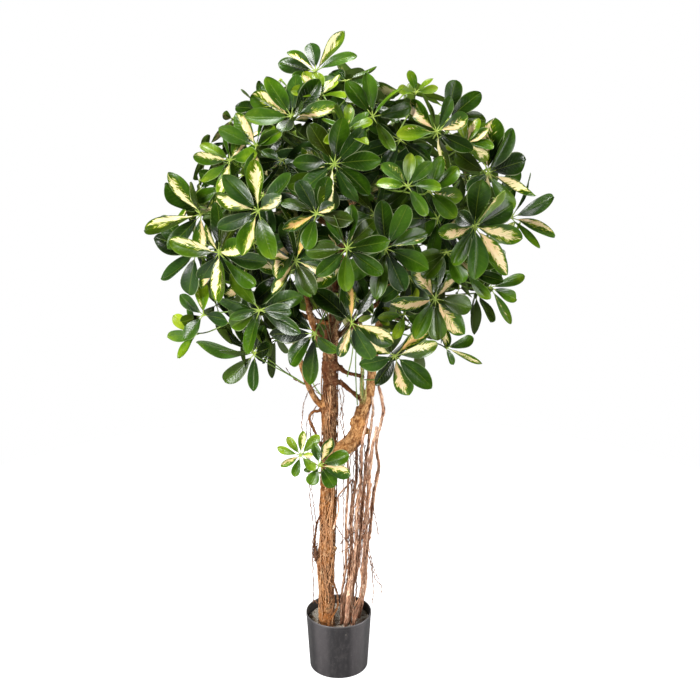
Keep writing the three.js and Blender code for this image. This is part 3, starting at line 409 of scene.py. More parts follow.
# Where a limb's bark turns dark (above 0) or golden (below 0): from this height, fully at this one, how much.
AGED = {
    "trunk": (600, 690, 1), "twig_1": (560, 650, 1), "twig_2": (560, 650, 1), "twig_3": (400, 490, 0.7),
    "twig_4": (160, 250, 0.8), "twig_5": (0, 90, 0.45), "fork": (440, 530, -1), "left_branch": (560, 650, -0.7),
    "pale_stem": (560, 650, -0.9), "brown_stem": (560, 650, -0.9),
}
SMOOTH_LIMBS = ["fork", "left_branch", "pale_stem", "brown_stem"]
GREEN_FROM, GREEN_OVER = 652, 14  # where the pale stem turns green, and over how far
FOOT_SHADE_FROM, FOOT_SHADE_FULL = 260, 150


# ---------------------------------------------------------------------------------------------
# Curves and tubes
# ---------------------------------------------------------------------------------------------
def unit(v):
    return v / np.linalg.norm(v, axis=-1, keepdims=True)


def spline(stations, between):
    """Points on a centripetal Catmull-Rom curve through stations, `between` to a stretch, with any further
    columns of a station shared out evenly."""
    knots = np.array(stations, float)
    p = knots[:, :3]
    ends = [2 * p[0] - p[1], *p, 2 * p[-1] - p[-2]]
    rows = []
    for i in range(len(p) - 1):
        p0, p1, p2, p3 = ends[i : i + 4]
        d0, d1, d2 = (max(np.linalg.norm(b - a), 1e-4) ** 0.5 for a, b in ((p0, p1), (p1, p2), (p2, p3)))
        m1 = ((p1 - p0) / d0 - (p2 - p0) / (d0 + d1) + (p2 - p1) / d1) * d1
        m2 = ((p2 - p1) / d1 - (p3 - p1) / (d1 + d2) + (p3 - p2) / d2) * d1
        last = i == len(p) - 2
        for t in np.linspace(0, 1, between + 1)[: None if last else -1]:
            at = p1 + m1 * t + (3 * (p2 - p1) - 2 * m1 - m2) * t**2 + (2 * (p1 - p2) + m1 + m2) * t**3
            rows.append([*at, *(knots[i, 3:] * (1 - t) + knots[i + 1, 3:] * t)])
    return np.array(rows)


def transported(path):
    """Tangents of a path, and two directions across it that turn with it and don't spin."""
    tangents = unit(np.gradient(path, axis=0))
    across = np.array([1.0, 0, 0]) if abs(tangents[0][0]) < 0.9 else np.array([0, 1.0, 0])
    first = []
    for tangent in tangents:
        across = unit(across - tangent * (across @ tangent))
        first.append(across)
    first = np.array(first)
    return tangents, first, np.cross(tangents, first)


def tube(path, radii, sides):
    """Points and faces of a round tube with closed ends. radii is one to a ring, or one to a point."""
    _, first, second = transported(path)
    angles = np.arange(sides) * 2 * math.pi / sides
    out = first[:, None] * np.cos(angles)[None, :, None] + second[:, None] * np.sin(angles)[None, :, None]
    radii = np.broadcast_to(np.asarray(radii, float).reshape(len(path), -1), (len(path), sides))
    points = (path[:, None] + out * radii[..., None]).reshape(-1, 3)
    faces = []
    for ring in range(len(path) - 1):
        for side in range(sides):
            a, b = ring * sides + side, ring * sides + (side + 1) % sides
            faces.append((a, b, b + sides, a + sides))
    last = (len(path) - 1) * sides
    faces += [tuple(range(sides - 1, -1, -1)), tuple(range(last, last + sides))]
    return points, faces


def tree_of(points):
    """A tree that finds the nearest of some points."""
    tree = KDTree(len(points))
    for i, point in enumerate(points):
        tree.insert(point, i)
    tree.balance()
    return tree


def set_vectors(mesh, name, values):
    attribute = mesh.attributes.new(name, "FLOAT_VECTOR", "POINT")
    attribute.data.foreach_set("vector", np.ascontiguousarray(values, float).ravel())


class Form:
    """Points in millimetres, faces, and named values to a point, gathered until they become one mesh."""

    MARGIN = 0.05  # that a form keeps to the model's box

    def __init__(self):
        self.points, self.faces, self.materials, self.values, self.count = [], [], [], {}, 0

    def add(self, points, faces, material=0, **values):
        for name, value in values.items():
            value = np.broadcast_to(np.asarray(value, float), (len(points), np.shape(value)[-1]))
            self.values.setdefault(name, []).append((self.count, value))
        self.points.append(points)
        self.faces += [tuple(i + self.count for i in face) for face in faces]
        self.materials += [material] * len(faces)
        self.count += len(points)

    def mesh(self, name):
        mesh = bpy.data.meshes.new(name)
        points = np.clip(np.concatenate(self.points), BOX_LOW + self.MARGIN, BOX_HIGH - self.MARGIN)
        mesh.from_pydata((points * MM).tolist(), [], self.faces)
        mesh.polygons.foreach_set("material_index", self.materials)
        mesh.polygons.foreach_set("use_smooth", [True] * len(self.faces))
        for key, parts in self.values.items():
            data = np.zeros((self.count, 3))
            for start, value in parts:
                data[start : start + len(value), : value.shape[1]] = value
            set_vectors(mesh, key, data)
        mesh.update()
        return mesh


def placed(name, data):
    """A new object in the scene."""
    made = bpy.data.objects.new(name, data)
    bpy.context.scene.collection.objects.link(made)
    return made


def piece(name, mesh, materials, slot, *nodes):
    """Puts a mesh in the scene as a piece that rides on the plant and stands for some of its nodes."""
    made = placed(name, mesh)
    for material in materials:
        mesh.materials.append(material)
    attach(made, "root")
    if nodes:
        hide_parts(*nodes)


# ---------------------------------------------------------------------------------------------
# Materials
# ---------------------------------------------------------------------------------------------
def rgb(red, green, blue):
    """A colour as it shows on a screen, 0 to 255, in the linear values that Blender takes."""
    def linear(c):
        c /= 255
        return c / 12.92 if c <= 0.04045 else ((c + 0.055) / 1.055) ** 2.4

    return (linear(red), linear(green), linear(blue), 1)


class Value:
    """A number that a material works out at each point: an output of one of its nodes."""

    def __init__(self, shader, socket):
        self.shader, self.socket = shader, socket

    def __add__(self, other):
        return self.shader.math("ADD", self, other)

    def __sub__(self, other):
        return self.shader.math("SUBTRACT", self, other)

    def __mul__(self, other):
        return self.shader.math("MULTIPLY", self, other)


class Shader:
    """A material with a Principled BSDF, and short ways to add the nodes that drive it."""

    def __init__(self, name, **fixed):
        self.material = bpy.data.materials.new(name)
        self.material.use_nodes = True
        self.tree = self.material.node_tree
        self.bsdf = self.tree.nodes["Principled BSDF"]
        for socket, value in fixed.items():
            self.bsdf.inputs[socket.replace("_", " ")].default_value = value

    def node(self, kind, inputs, **settings):
        made = self.tree.nodes.new("ShaderNode" + kind)
        for key, value in settings.items():
            setattr(made, key, value)
        for key, value in inputs.items():
            self.feed(made.inputs[key], value)
        return made

    def feed(self, socket, value):
        value = value.socket if isinstance(value, Value) else value
        if isinstance(value, bpy.types.NodeSocket):
            self.tree.links.new(value, socket)
        else:
            socket.default_value = value

    def place(self):
        """Where a point is in its piece, in metres."""
        return self.node("TexCoord", {}).outputs["Object"]

    def parts(self, vector):
        return [Value(self, part) for part in self.node("SeparateXYZ", {0: vector}).outputs]

    def attribute(self, name):
        """A vector kept at each point of a mesh, whole and as its three numbers."""
        whole = self.node("Attribute", {}, attribute_name=name).outputs["Vector"]
        return whole, self.parts(whole)

    def scaled(self, vector, scale):
        return self.node("VectorMath", {0: vector, 1: scale}, operation="MULTIPLY").outputs[0]

    def joined(self, x, y, z):
        return self.node("CombineXYZ", {0: x, 1: y, 2: z}).outputs[0]

    def math(self, operation, a, b=0.0, clamp=False):
        made = self.node("Math", {0: a, 1: b}, operation=operation, use_clamp=clamp)
        return Value(self, made.outputs[0])

    def noise(self, vector, scale, detail, roughness=0.55):
        inputs = {"Vector": vector, "Scale": scale, "Detail": detail, "Roughness": roughness}
        return Value(self, self.node("TexNoise", inputs).outputs["Fac"])

    def range(self, value, low, high, to_low=0.0, to_high=1.0):
        inputs = {"Value": value, "From Min": low, "From Max": high, "To Min": to_low, "To Max": to_high}
        return Value(self, self.node("MapRange", inputs, interpolation_type="SMOOTHSTEP").outputs["Result"])

    def ramp(self, value, stops):
        made = self.node("ValToRGB", {"Fac": value})
        elements = made.color_ramp.elements
        while len(elements) < len(stops):
            elements.new(0.5)
        for element, (position, colour) in zip(elements, stops):
            element.position, element.color = position, colour
        return made.outputs["Color"]

    def mix(self, share, a, b):
        """Colour a with a share of colour b. The node's colours are its sockets 6 and 7."""
        made = self.node("Mix", {}, data_type="RGBA")
        for socket, value in ((made.inputs[0], share), (made.inputs[6], a), (made.inputs[7], b)):
            self.feed(socket, value)
        return made.outputs[2]

    def bump(self, height, distance, strength):
        inputs = {"Height": height, "Distance": distance, "Strength": strength}
        self.feed(self.bsdf.inputs["Normal"], self.node("Bump", inputs).outputs["Normal"])

    def colour(self, value):
        self.feed(self.bsdf.inputs["Base Color"], value)

    def roughness(self, value):
        self.feed(self.bsdf.inputs["Roughness"], value)


def leaf_material():
    """Leathery leaflets. leaf_place is (along, across from -1 to 1, a number of the leaflet's own), leaf_look
    is (tone, how cream, which side the cream lies on), leaf_face is 1 on the underside."""
    s = Shader("leaf", Specular_IOR_Level=0.23)
    _, (along, across, own) = s.attribute("leaf_place")
    _, (tone, cream, side) = s.attribute("leaf_look")
    _, (under, _, _) = s.attribute("leaf_face")
    off = s.math("ABSOLUTE", across)
    shift = own * 61.7

    # Fine mottling and a slow drift of tone over each leaflet, and a painted shade that darkens it
    # towards the hub, so that it is lighter towards its tip.
    mottle = s.noise(s.joined(along * 3.0, across, shift), 2.2, 4.0)
    drift = s.noise(s.joined(along, across * 0.5, shift + 3.0), 1.6, 1.0)
    shade = tone + (mottle - 0.5) * 0.3 + (drift - 0.5) * 0.5 + (along - 0.6) * 0.34
    green = s.ramp(shade, [
        (0.0, rgb(13, 26, 2)), (0.28, rgb(31, 57, 4)), (0.56, rgb(60, 94, 8)), (0.8, rgb(102, 130, 16)),
        (1.0, rgb(140, 160, 34)),
    ])

    # Some leaflets are greyer, and some are olive.
    green = s.mix(s.range(own, 0.3, 0.2) * 0.2, green, rgb(52, 80, 46))
    green = s.mix(s.range(own, 0.74, 0.84) * 0.22, green, rgb(66, 72, 8))

    # Side veins run out and forward from the midrib, and the edge has a painted highlight in places.
    wave = s.math("SINE", (along - off * 0.2) * 62.0)
    vein = s.range(wave, 0.8, 1.0) * s.range(off, 0.98, 0.5)
    midrib = s.range(off, 0.06, 0.012)
    green = s.mix(s.math("MAXIMUM", midrib * 0.3, vein * 0.06), green, rgb(118, 138, 44))
    painted_rim_light = s.range(s.noise(s.joined(along, across * 2.0, shift), 1.4, 1.0), 0.46, 0.6)
    green = s.mix(s.range(off, 0.89, 0.97) * (painted_rim_light * 0.33 + 0.04), green, rgb(190, 202, 150))

    # Cream streaks break out of the midrib along the side veins, through a yellow-green margin.
    streak = s.noise(s.joined((along - off * 0.34) * 17.0, across * 0.9, shift), 1.6, 2.6)
    blotch = s.noise(s.joined(along * 2.4, across, shift + 9.0), 1.7, 2.0)
    level = s.math("MINIMUM", cream, 0.84) + s.math("ABSOLUTE", across - side) * -1.1
    level = level + (streak - 0.5) * 1.9 + (blotch - 0.5) * 1.7
    level = level - s.range(off, 0.75, 1.0) * 0.36 - s.range(along, 0.66, 1.0) * 0.5
    # The cream is darker towards the hub: a painted shade, as on the green.
    tint = s.mix(s.range(along, 0.1, 0.9), rgb(216, 182, 136), rgb(234, 218, 166))
    peach = s.range(s.noise(s.joined(along, across, shift), 3.0, 2.0), 0.4, 0.65)
    tint = s.mix(peach, tint, rgb(228, 196, 150))
    tint = s.mix(s.range(own, 0.52, 0.66, 0.0, 0.75), tint, rgb(238, 226, 172))
    tint = s.mix(s.range(cream, 1.1, 1.4), tint, rgb(216, 170, 104))
    tint = s.mix(midrib * 0.4, tint, rgb(206, 184, 112))
    tint = s.mix(vein * 0.3, tint, rgb(222, 196, 140))
    colour = s.mix(s.range(level, 0.12, 0.4), green, rgb(132, 148, 26))
    colour = s.mix(s.range(level, 0.38, 0.5), colour, tint)

    # The underside is paler and dull.
    s.colour(s.mix(under * 0.55, colour, rgb(82, 104, 36)))
    s.roughness((mottle - 0.5) * 0.16 + 0.25 + under * 0.25)
    grain = s.noise(s.joined(along * 40.0, across * 16.0, shift), 1.0, 2.0)
    s.bump(vein * -0.25 + midrib * -0.45 + wave * 0.06 + grain * 0.2, 0.0006, 0.8)
    return s.material


def stem_material():
    """Green stalks and buds. leaf_look is (tone, how woody, 0)."""
    s = Shader("green_stem", Specular_IOR_Level=0.45)
    _, (tone, woody, _) = s.attribute("leaf_look")
    mottle = s.noise(s.scaled(s.place(), (1, 1, 0.4)), 160.0, 3.0)
    green = s.ramp(tone + (mottle - 0.5) * 0.5, [
        (0.0, rgb(52, 78, 26)), (0.45, rgb(104, 132, 44)), (0.8, rgb(160, 178, 70)), (1.0, rgb(205, 208, 130)),
    ])
    s.colour(s.mix(woody, green, s.mix(mottle, rgb(70, 44, 24), rgb(134, 92, 54))))
    s.roughness(0.5)
    s.bump(mottle, 0.0004, 0.5)
    return s.material


def bark_material(name, dark, middle, light, patch, patch_share, stretch):
    """Stringy bark. wood_grain is (round the limb, across it, along it) in metres, so that fibres follow it.
    wood_mark is (how deep in a crack, how green, how dark with age and with painted shade, or below 0 how
    golden). stretch is how long its fibres are for their width."""
    s = Shader(name, Specular_IOR_Level=0.2)
    grain, _ = s.attribute("wood_grain")
    _, (crack, young, age_and_shade) = s.attribute("wood_mark")
    place = s.place()
    fibres = s.noise(s.scaled(grain, (1, 1, 1 / stretch)), 270.0, 6.0, 0.68)
    cords = s.noise(s.scaled(grain, (1, 1, 0.7 / stretch)), 120.0, 3.0, 0.5)
    flakes = s.noise(s.scaled(grain, (1, 1, 0.55)), 170.0, 6.0, 0.65)
    both = fibres * 0.6 + cords * 0.4
    base = s.ramp(both, [(0.38, dark), (0.46, middle), (0.52, middle), (0.6, light)])

    # Patches of another colour, painted shadow patches, splits darkened by painted shade, and pale dust.
    area = s.noise(s.scaled(place, (1, 1, 0.6)), 21.0, 3.0)
    base = s.mix(s.range(area, 0.46, 0.6) * patch_share, base, patch)
    painted_shadow_patches = s.noise(s.scaled(place, (1, 1, 0.4)), 30.0, 4.0, 0.6)
    base = s.mix(s.range(painted_shadow_patches, 0.52, 0.64, 0.0, 0.55), base, s.mix(cords, dark, middle))
    split = s.range(flakes * 0.5 + cords * 0.5, 0.45, 0.36)
    base = s.mix(split * 0.6, base, dark)
    dust = s.range(s.noise(s.scaled(place, (1, 1, 0.5)), 90.0, 5.0, 0.7), 0.5, 0.68)
    base = s.mix(dust * 0.5, base, light)

    # What a mark makes of it: darker with age and with painted shade, golden, or green.
    aged_and_shaded = s.mix(fibres, rgb(46, 22, 10), rgb(124, 68, 34))
    base = s.mix(s.math("MULTIPLY", age_and_shade, 0.72, clamp=True), base, aged_and_shaded)
    golden = s.mix(s.range(both, 0.42, 0.58), rgb(144, 90, 44), rgb(216, 162, 102))
    base = s.mix(s.math("MULTIPLY", age_and_shade, -0.6, clamp=True), base, golden)
    green = s.mix(s.range(both, 0.38, 0.6), rgb(116, 112, 48), rgb(206, 196, 128))
    base = s.mix(young, base, green)
    # Deep in a crack the bark is darkened: a painted shade.
    s.colour(s.mix(crack * 0.6, base, dark))
    s.roughness(s.range(flakes, 0.3, 0.7, 0.72, 0.95))
    s.bump(fibres * 0.55 + flakes * 0.6 - split * 0.6, 0.0022, 1.0)
    return s.material


# Bands of painted sheen round the pot's side.
POT_SHEEN_BANDS, SHEEN_BANDS_TURNED = 5, 4.45  # paler bands round the pot's side, and their turn in radians


def pot_material():
    """Moulded black plastic, with faint flow marks up its side and dust on it, bands of painted sheen round
    its side, painted shade inside and a painted highlight on the top of its rim.
    """
    s = Shader("pot_plastic", Specular_IOR_Level=0.6)
    place = s.place()
    x, y, z = s.parts(place)
    flow = s.noise(s.scaled(place, (1, 1, 0.12)), 60.0, 4.0)
    base = s.mix(flow, rgb(23, 21, 22), rgb(36, 33, 35))
    # Paler bands round the side are a painted sheen, weaker near the foot.
    round_it = s.math("ARCTAN2", x, y * -1.0)
    sheen_bands = s.range(s.math("SINE", round_it * POT_SHEEN_BANDS + SHEEN_BANDS_TURNED), -0.3, 0.9)
    painted_sheen = sheen_bands * s.range(z, -0.01, 0.09, 0.6, 1.0)
    base = s.mix(painted_sheen, base, s.mix(flow, rgb(52, 48, 50), rgb(66, 62, 63)))
    film = s.range(s.noise(s.scaled(place, (1, 1, 0.5)), 130.0, 5.0, 0.75), 0.46, 0.66)
    base = s.mix(film * 0.2, base, rgb(88, 84, 83))
    scratch = s.range(s.noise(s.joined(round_it, z * 90.0, 0.0), 6.0, 2.0), 0.66, 0.72)
    base = s.mix(scratch * 0.3, base, rgb(112, 106, 100))
    dust = s.range(s.noise(place, 26.0, 6.0, 0.7), 0.52, 0.8)
    base = s.mix(dust * 0.25, base, rgb(92, 87, 84))

    # The inside lies nearer the axis than the middle of the wall, and is painted dark: a painted shade.
    # The top of the rim is painted pale: a painted highlight.
    middle_of_wall = s.range(z, 0.0, POT["height"] * MM, (POT["foot"] - 1) * MM, (POT["rim"] - 1) * MM)
    inside = s.math("LESS_THAN", s.math("SQRT", x * x + y * y), middle_of_wall)
    base = s.mix(inside * 0.9, base, rgb(10, 7, 7))
    top = s.range(z, (POT["height"] - 3.5) * MM, (POT["height"] - 0.5) * MM, 0.0, 0.22)
    s.colour(s.mix(top, base, rgb(140, 136, 136)))
    s.roughness(s.range(flow, 0.3, 0.7, 0.36, 0.46))
    s.bump(s.noise(place, 900.0, 2.0) * 0.3 + flow * 0.7, 0.0003, 0.35)
    return s.material


def filler_material():
    """Set filler with grit and dust."""
    s = Shader("filler_grit", Specular_IOR_Level=0.2)
    place = s.place()
    grit = s.noise(place, 420.0, 5.0, 0.7)
    stain = s.noise(place, 60.0, 4.0)
    base = s.ramp(grit, [(0.34, rgb(84, 76, 66)), (0.5, rgb(160, 152, 139)), (0.66, rgb(226, 220, 208))])
    s.colour(s.mix(s.range(stain, 0.5, 0.64), base, rgb(104, 86, 66)))
    s.roughness(0.95)
    s.bump(grit, 0.0016, 0.9)
    return s.material


# Barks: their dark, middle, light and patch colours, the share of patches, and how long their fibres are.
BARKS = {
    "bark": ((34, 20, 12), (94, 61, 36), (192, 154, 112), (156, 95, 38), 0.66, 1.7),
    "fibre_bark": ((88, 55, 38), (164, 116, 78), (228, 192, 150), (184, 130, 82), 0.3, 3.0),
    "liana_bark": ((56, 34, 25), (168, 124, 98), (240, 212, 184), (200, 150, 112), 0.4, 3.0),
    "hair_bark": ((58, 38, 28), (112, 78, 58), (164, 124, 98), (124, 86, 60), 0.4, 3.0),
}
LEAF, STEM = leaf_material(), stem_material()
BARK, FIBRE_BARK, LIANA_BARK, HAIR_BARK = (
    bark_material(name, *(rgb(*colour) for colour in colours), share, stretch)
    for name, (*colours, share, stretch) in BARKS.items()
)
POT_PLASTIC, FILLER = pot_material(), filler_material()


# ---------------------------------------------------------------------------------------------
# Leaves: their frames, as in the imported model
# ---------------------------------------------------------------------------------------------
def random_from(seed):
    """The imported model's seeded generator of numbers from 0 to 1."""
    state, mask = seed, 0xFFFFFFFF

    def draw():
        nonlocal state
        state = (state + 0x6D2B79F5) & mask
        t = ((state ^ (state >> 15)) * (1 | state)) & mask
        t = ((t + (((t ^ (t >> 7)) * (61 | t)) & mask)) & mask) ^ t
        return (t ^ (t >> 14)) / 4294967296

    return draw


def spread_out(blades):
    """Leaflets turned apart, pair by pair, until none lies closer to its neighbour than the least spacing."""
    ordered = sorted(blades, key=lambda blade: blade["angle"])
    for _ in range(40):
        for i, blade in enumerate(ordered):
            following = ordered[(i + 1) % len(ordered)]
            gap = following["angle"] - blade["angle"] + (360 if following is ordered[0] else 0)
            if gap < LEAST_SPACING:
                blade["angle"] -= (LEAST_SPACING - gap) / 2
                following["angle"] += (LEAST_SPACING - gap) / 2
    return ordered


def leaf_frame(hub, turn, tip, rise):
    facing = np.array([math.sin(turn) * math.cos(tip), -math.cos(turn) * math.cos(tip), math.sin(tip)])
    right = np.array([math.cos(turn), math.sin(turn), 0])
    return {"hub": hub, "facing": facing, "right": right, "up": np.cross(facing, right), "rise": rise}


def in_plane(leaf, angle):
    return leaf["right"] * math.cos(math.radians(angle)) + leaf["up"] * math.sin(math.radians(angle))


def angle_in_plane(leaf, seen_angle):
    """The angle in the leaf's plane of what is seen at an angle from the front."""
    slope = math.radians(SIGHT_SLOPE)

    def upward(v):
        return v[1] * math.sin(slope) + v[2] * math.cos(slope)

    c, s = math.cos(math.radians(seen_angle)), math.sin(math.radians(seen_angle))
    along_right = c * upward(leaf["up"]) - s * leaf["up"][0]
    along_up = s * leaf["right"][0] - c * upward(leaf["right"])
    return math.degrees(math.atan2(along_up, along_right)) % 360


def listed_leaf(row, forward=None):
    """A front leaf of the tables: its hub lies on the line of sight, on its layer of the crown or as far
    forward as is given."""
    across, height, layer, seen_length, tip, rise, tone, text = row
    at = (np.array([across, 0, height]) - CROWN_MIDDLE) / CROWN_HALF
    depth = math.sqrt(max(0.02, 1 - (at[0] ** 2 + at[2] ** 2)))
    y = -CROWN_HALF[1] * depth * layer**2 if forward is None else forward
    share = (y - VIEWPOINT[1]) / -VIEWPOINT[1]
    hub = VIEWPOINT + (np.array([across, 0, height]) - VIEWPOINT) * share
    turn = math.radians((across - CROWN_MIDDLE[0]) * OUTWARD_TURN)
    leaf = leaf_frame(hub, turn, math.radians(tip), math.radians(rise) + OUTWARD_CUP * abs(turn))
    blades, small = [], []
    for word in text.split():
        look = word[-1] if word[-1].isalpha() else ""
        size, _, width = word.strip("+" + look).partition("*")
        packed_as, _, grown = size.partition("/")
        angle, _, length = packed_as.partition(":")
        blade = {"angle": angle_in_plane(leaf, float(angle)), "length": float(length or seen_length) * share}
        blade["tone"], blade["cream"] = tone + LOOKS[look][0], LOOKS[look][1]
        blade["cut"] = float(grown or 100) / 100
        if width:
            blade["width"] = float(width) / 100
        (small if word[0] == "+" else blades).append(blade)
    return {**leaf, "blades": spread_out(blades), "small": small, "tone": tone}


def spiral_direction(i, up):
    """The i-th of many directions spread evenly over a ball, at a height from -1 to 1."""
    angle = math.radians(GOLDEN_ANGLE * i)
    out = math.sqrt(1 - up * up)
    return np.array([out * math.cos(angle), out * math.sin(angle), up])


def ruled_leaf(at, random):
    """A leaf grown by rule on the crown's surface, in the direction `at` from its middle."""
    hub = CROWN_MIDDLE + CROWN_HALF * at
    turn = math.atan2(at[0], -at[1]) + math.radians(BACK["wander"] * (random() - 0.5))
    latitude = math.asin(min(1, max(-1, at[2])))
    tip = latitude * BACK["tip_share"] + math.radians(BACK["tip"] + BACK["wander"] * (random() - 0.5))
    first = random() * 360
    length = BACK["length"] * (0.85 + 0.3 * random())
    leaf = leaf_frame(hub, turn, tip, math.radians(BACK["rise"] * random()))
    blades = []
    for n in range(BACK["leaflets"]):
        angle = first + (360 / BACK["leaflets"]) * n + BACK["unevenness"] * (random() - 0.5)
        blades.append({"angle": angle % 360, "length": length})
    return {**leaf, "blades": spread_out(blades), "small": []}


def back_sprays():
    """Sprays of leaves over the back, the sides and the underside of the crown."""
    random = random_from(BACK["seed"])
    looks = np.random.default_rng(BACK["seed"])
    sprays = []
    for i in range(BACK["sprays"]):
        centre = spiral_direction(i, 1 - (BACK["reach"] * (i + 0.5)) / BACK["sprays"])
        spin = random() * 360
        if centre[1] * CROWN_HALF[1] < BACK["first_front"]:
            continue
        east = unit(np.array([-centre[1], centre[0], 0]))
        north = np.cross(centre, east)
        leaves = []
        for k in range(BACK["leaves"]):
            around = math.radians(spin + (360 / BACK["leaves"]) * k)
            step = (BACK["spread"] / CROWN_HALF[0]) * (0.85 + 0.3 * random())
            at = unit(centre + east * step * math.cos(around) + north * step * math.sin(around))
            leaf = ruled_leaf(at * (0.9 + 0.14 * random()), random)
            leaf["tone"] = 0.25 + 0.5 * looks.random() ** 1.5
            for blade in leaf["blades"]:
                blade["tone"] = leaf["tone"] + 0.1 * looks.normal()
                tip = leaf["hub"] + in_plane(leaf, blade["angle"]) * blade["length"]
                seen = VIEWPOINT + (tip - VIEWPOINT) * VIEWPOINT[1] / (VIEWPOINT[1] - tip[1])
                far = np.linalg.norm(((seen - CROWN_MIDDLE) / CROWN_HALF)[[0, 2]])
                blade["cut"] = min(1, 1 - BACK_TRIM["slope"] * (far - BACK_TRIM["from"]))
                blade["cream"] = 1 if looks.random() < BACK_CREAM_SHARE else NOT_CREAM
            leaves.append(leaf)
        sprays.append({"name": f"spray_back_{len(sprays) + 1:02d}", "leaves": leaves})
    return sprays


# ---------------------------------------------------------------------------------------------
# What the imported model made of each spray
# ---------------------------------------------------------------------------------------------
class Packed:
    """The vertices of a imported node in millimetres, to ask whether it has one at a point."""

    FOUND = 0.15  # a vertex this near is the one that was looked for

    def __init__(self, name):
        self.points = np.array([v.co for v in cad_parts[name].data.vertices], float) / MM
        self.tree = tree_of(self.points)

    def has(self, point):
        return self.tree.find(point)[2] < self.FOUND


def directions(leaf, angle, bend):
    """A leaflet's own directions: along it, across it, and out of its upper face."""
    radial = in_plane(leaf, angle)
    rise = leaf["rise"] + math.radians(bend)
    along = radial * math.cos(rise) + leaf["facing"] * math.sin(rise)
    over = -radial * math.sin(rise) + leaf["facing"] * math.cos(rise)
    return along, np.cross(along, over), over


def grown_bend(packed, leaf, blade):
    """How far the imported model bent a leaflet, or None if it has no such leaflet."""
    for bend in BENDS:
        along, _, over = directions(leaf, blade["angle"], bend)
        length = blade["length"]
        lift = BLADE / 2 - KEEL * length - ARCH * length * MIDRIB_AT**2
        if packed.has(leaf["hub"] + along * length * MIDRIB_AT + over * lift):
            return bend
    return None


def bud_of(leaves, depth):
    middle = sum(leaf["hub"] for leaf in leaves) / len(leaves)
    core = np.array([10, 0, middle[2] * 0.55 + 450])
    return middle + (core - middle) * depth


def settled_bud(packed, leaves):
    """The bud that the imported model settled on, found by the corners of its swelling, or else its first try."""
    best = (0, bud_of(leaves, BUD_DEPTHS[0]))
    for count in range(len(leaves), 0, -1):
        for depth in BUD_DEPTHS:
            bud = bud_of(leaves[:count], depth)
            corners = [bud + sign * BUD_RADIUS * axis for axis in np.eye(3) for sign in (-1, 1)]
            hits = sum(packed.has(corner) for corner in corners)
            if hits > best[0]:
                best = (hits, bud)
    return best[1]


# ---------------------------------------------------------------------------------------------
# Leaf forms
# ---------------------------------------------------------------------------------------------
ALONG = 1 - (1 - np.linspace(0, 1, ROWS)) ** 1.4
ACROSS = np.sign(np.linspace(-1, 1, COLUMNS)) * np.abs(np.linspace(-1, 1, COLUMNS)) ** 0.85


def outline(share, belly, blunt, point):
    """Half the width of an obovate leaflet at a share of its blade, 1 at its widest."""
    widest = (belly / (belly + point * blunt)) ** (1 / blunt)
    greatest = widest**belly * (1 - widest**blunt) ** point
    return np.maximum(share**belly * np.clip(1 - share**blunt, 0, 1) ** point / greatest, 0.02)


def held_inside(points, centre):
    """Points drawn in towards a centre along each axis, as far as it takes to lie in the model's box."""
    for axis in range(3):
        off = points[..., axis] - centre[axis]
        below, above = centre[axis] - BOX_LOW[axis] - 1, BOX_HIGH[axis] - 1 - centre[axis]
        off *= min(1, below / max(-off.min(), 1e-6), above / max(off.max(), 1e-6))
        points[..., axis] = centre[axis] + off
    return points


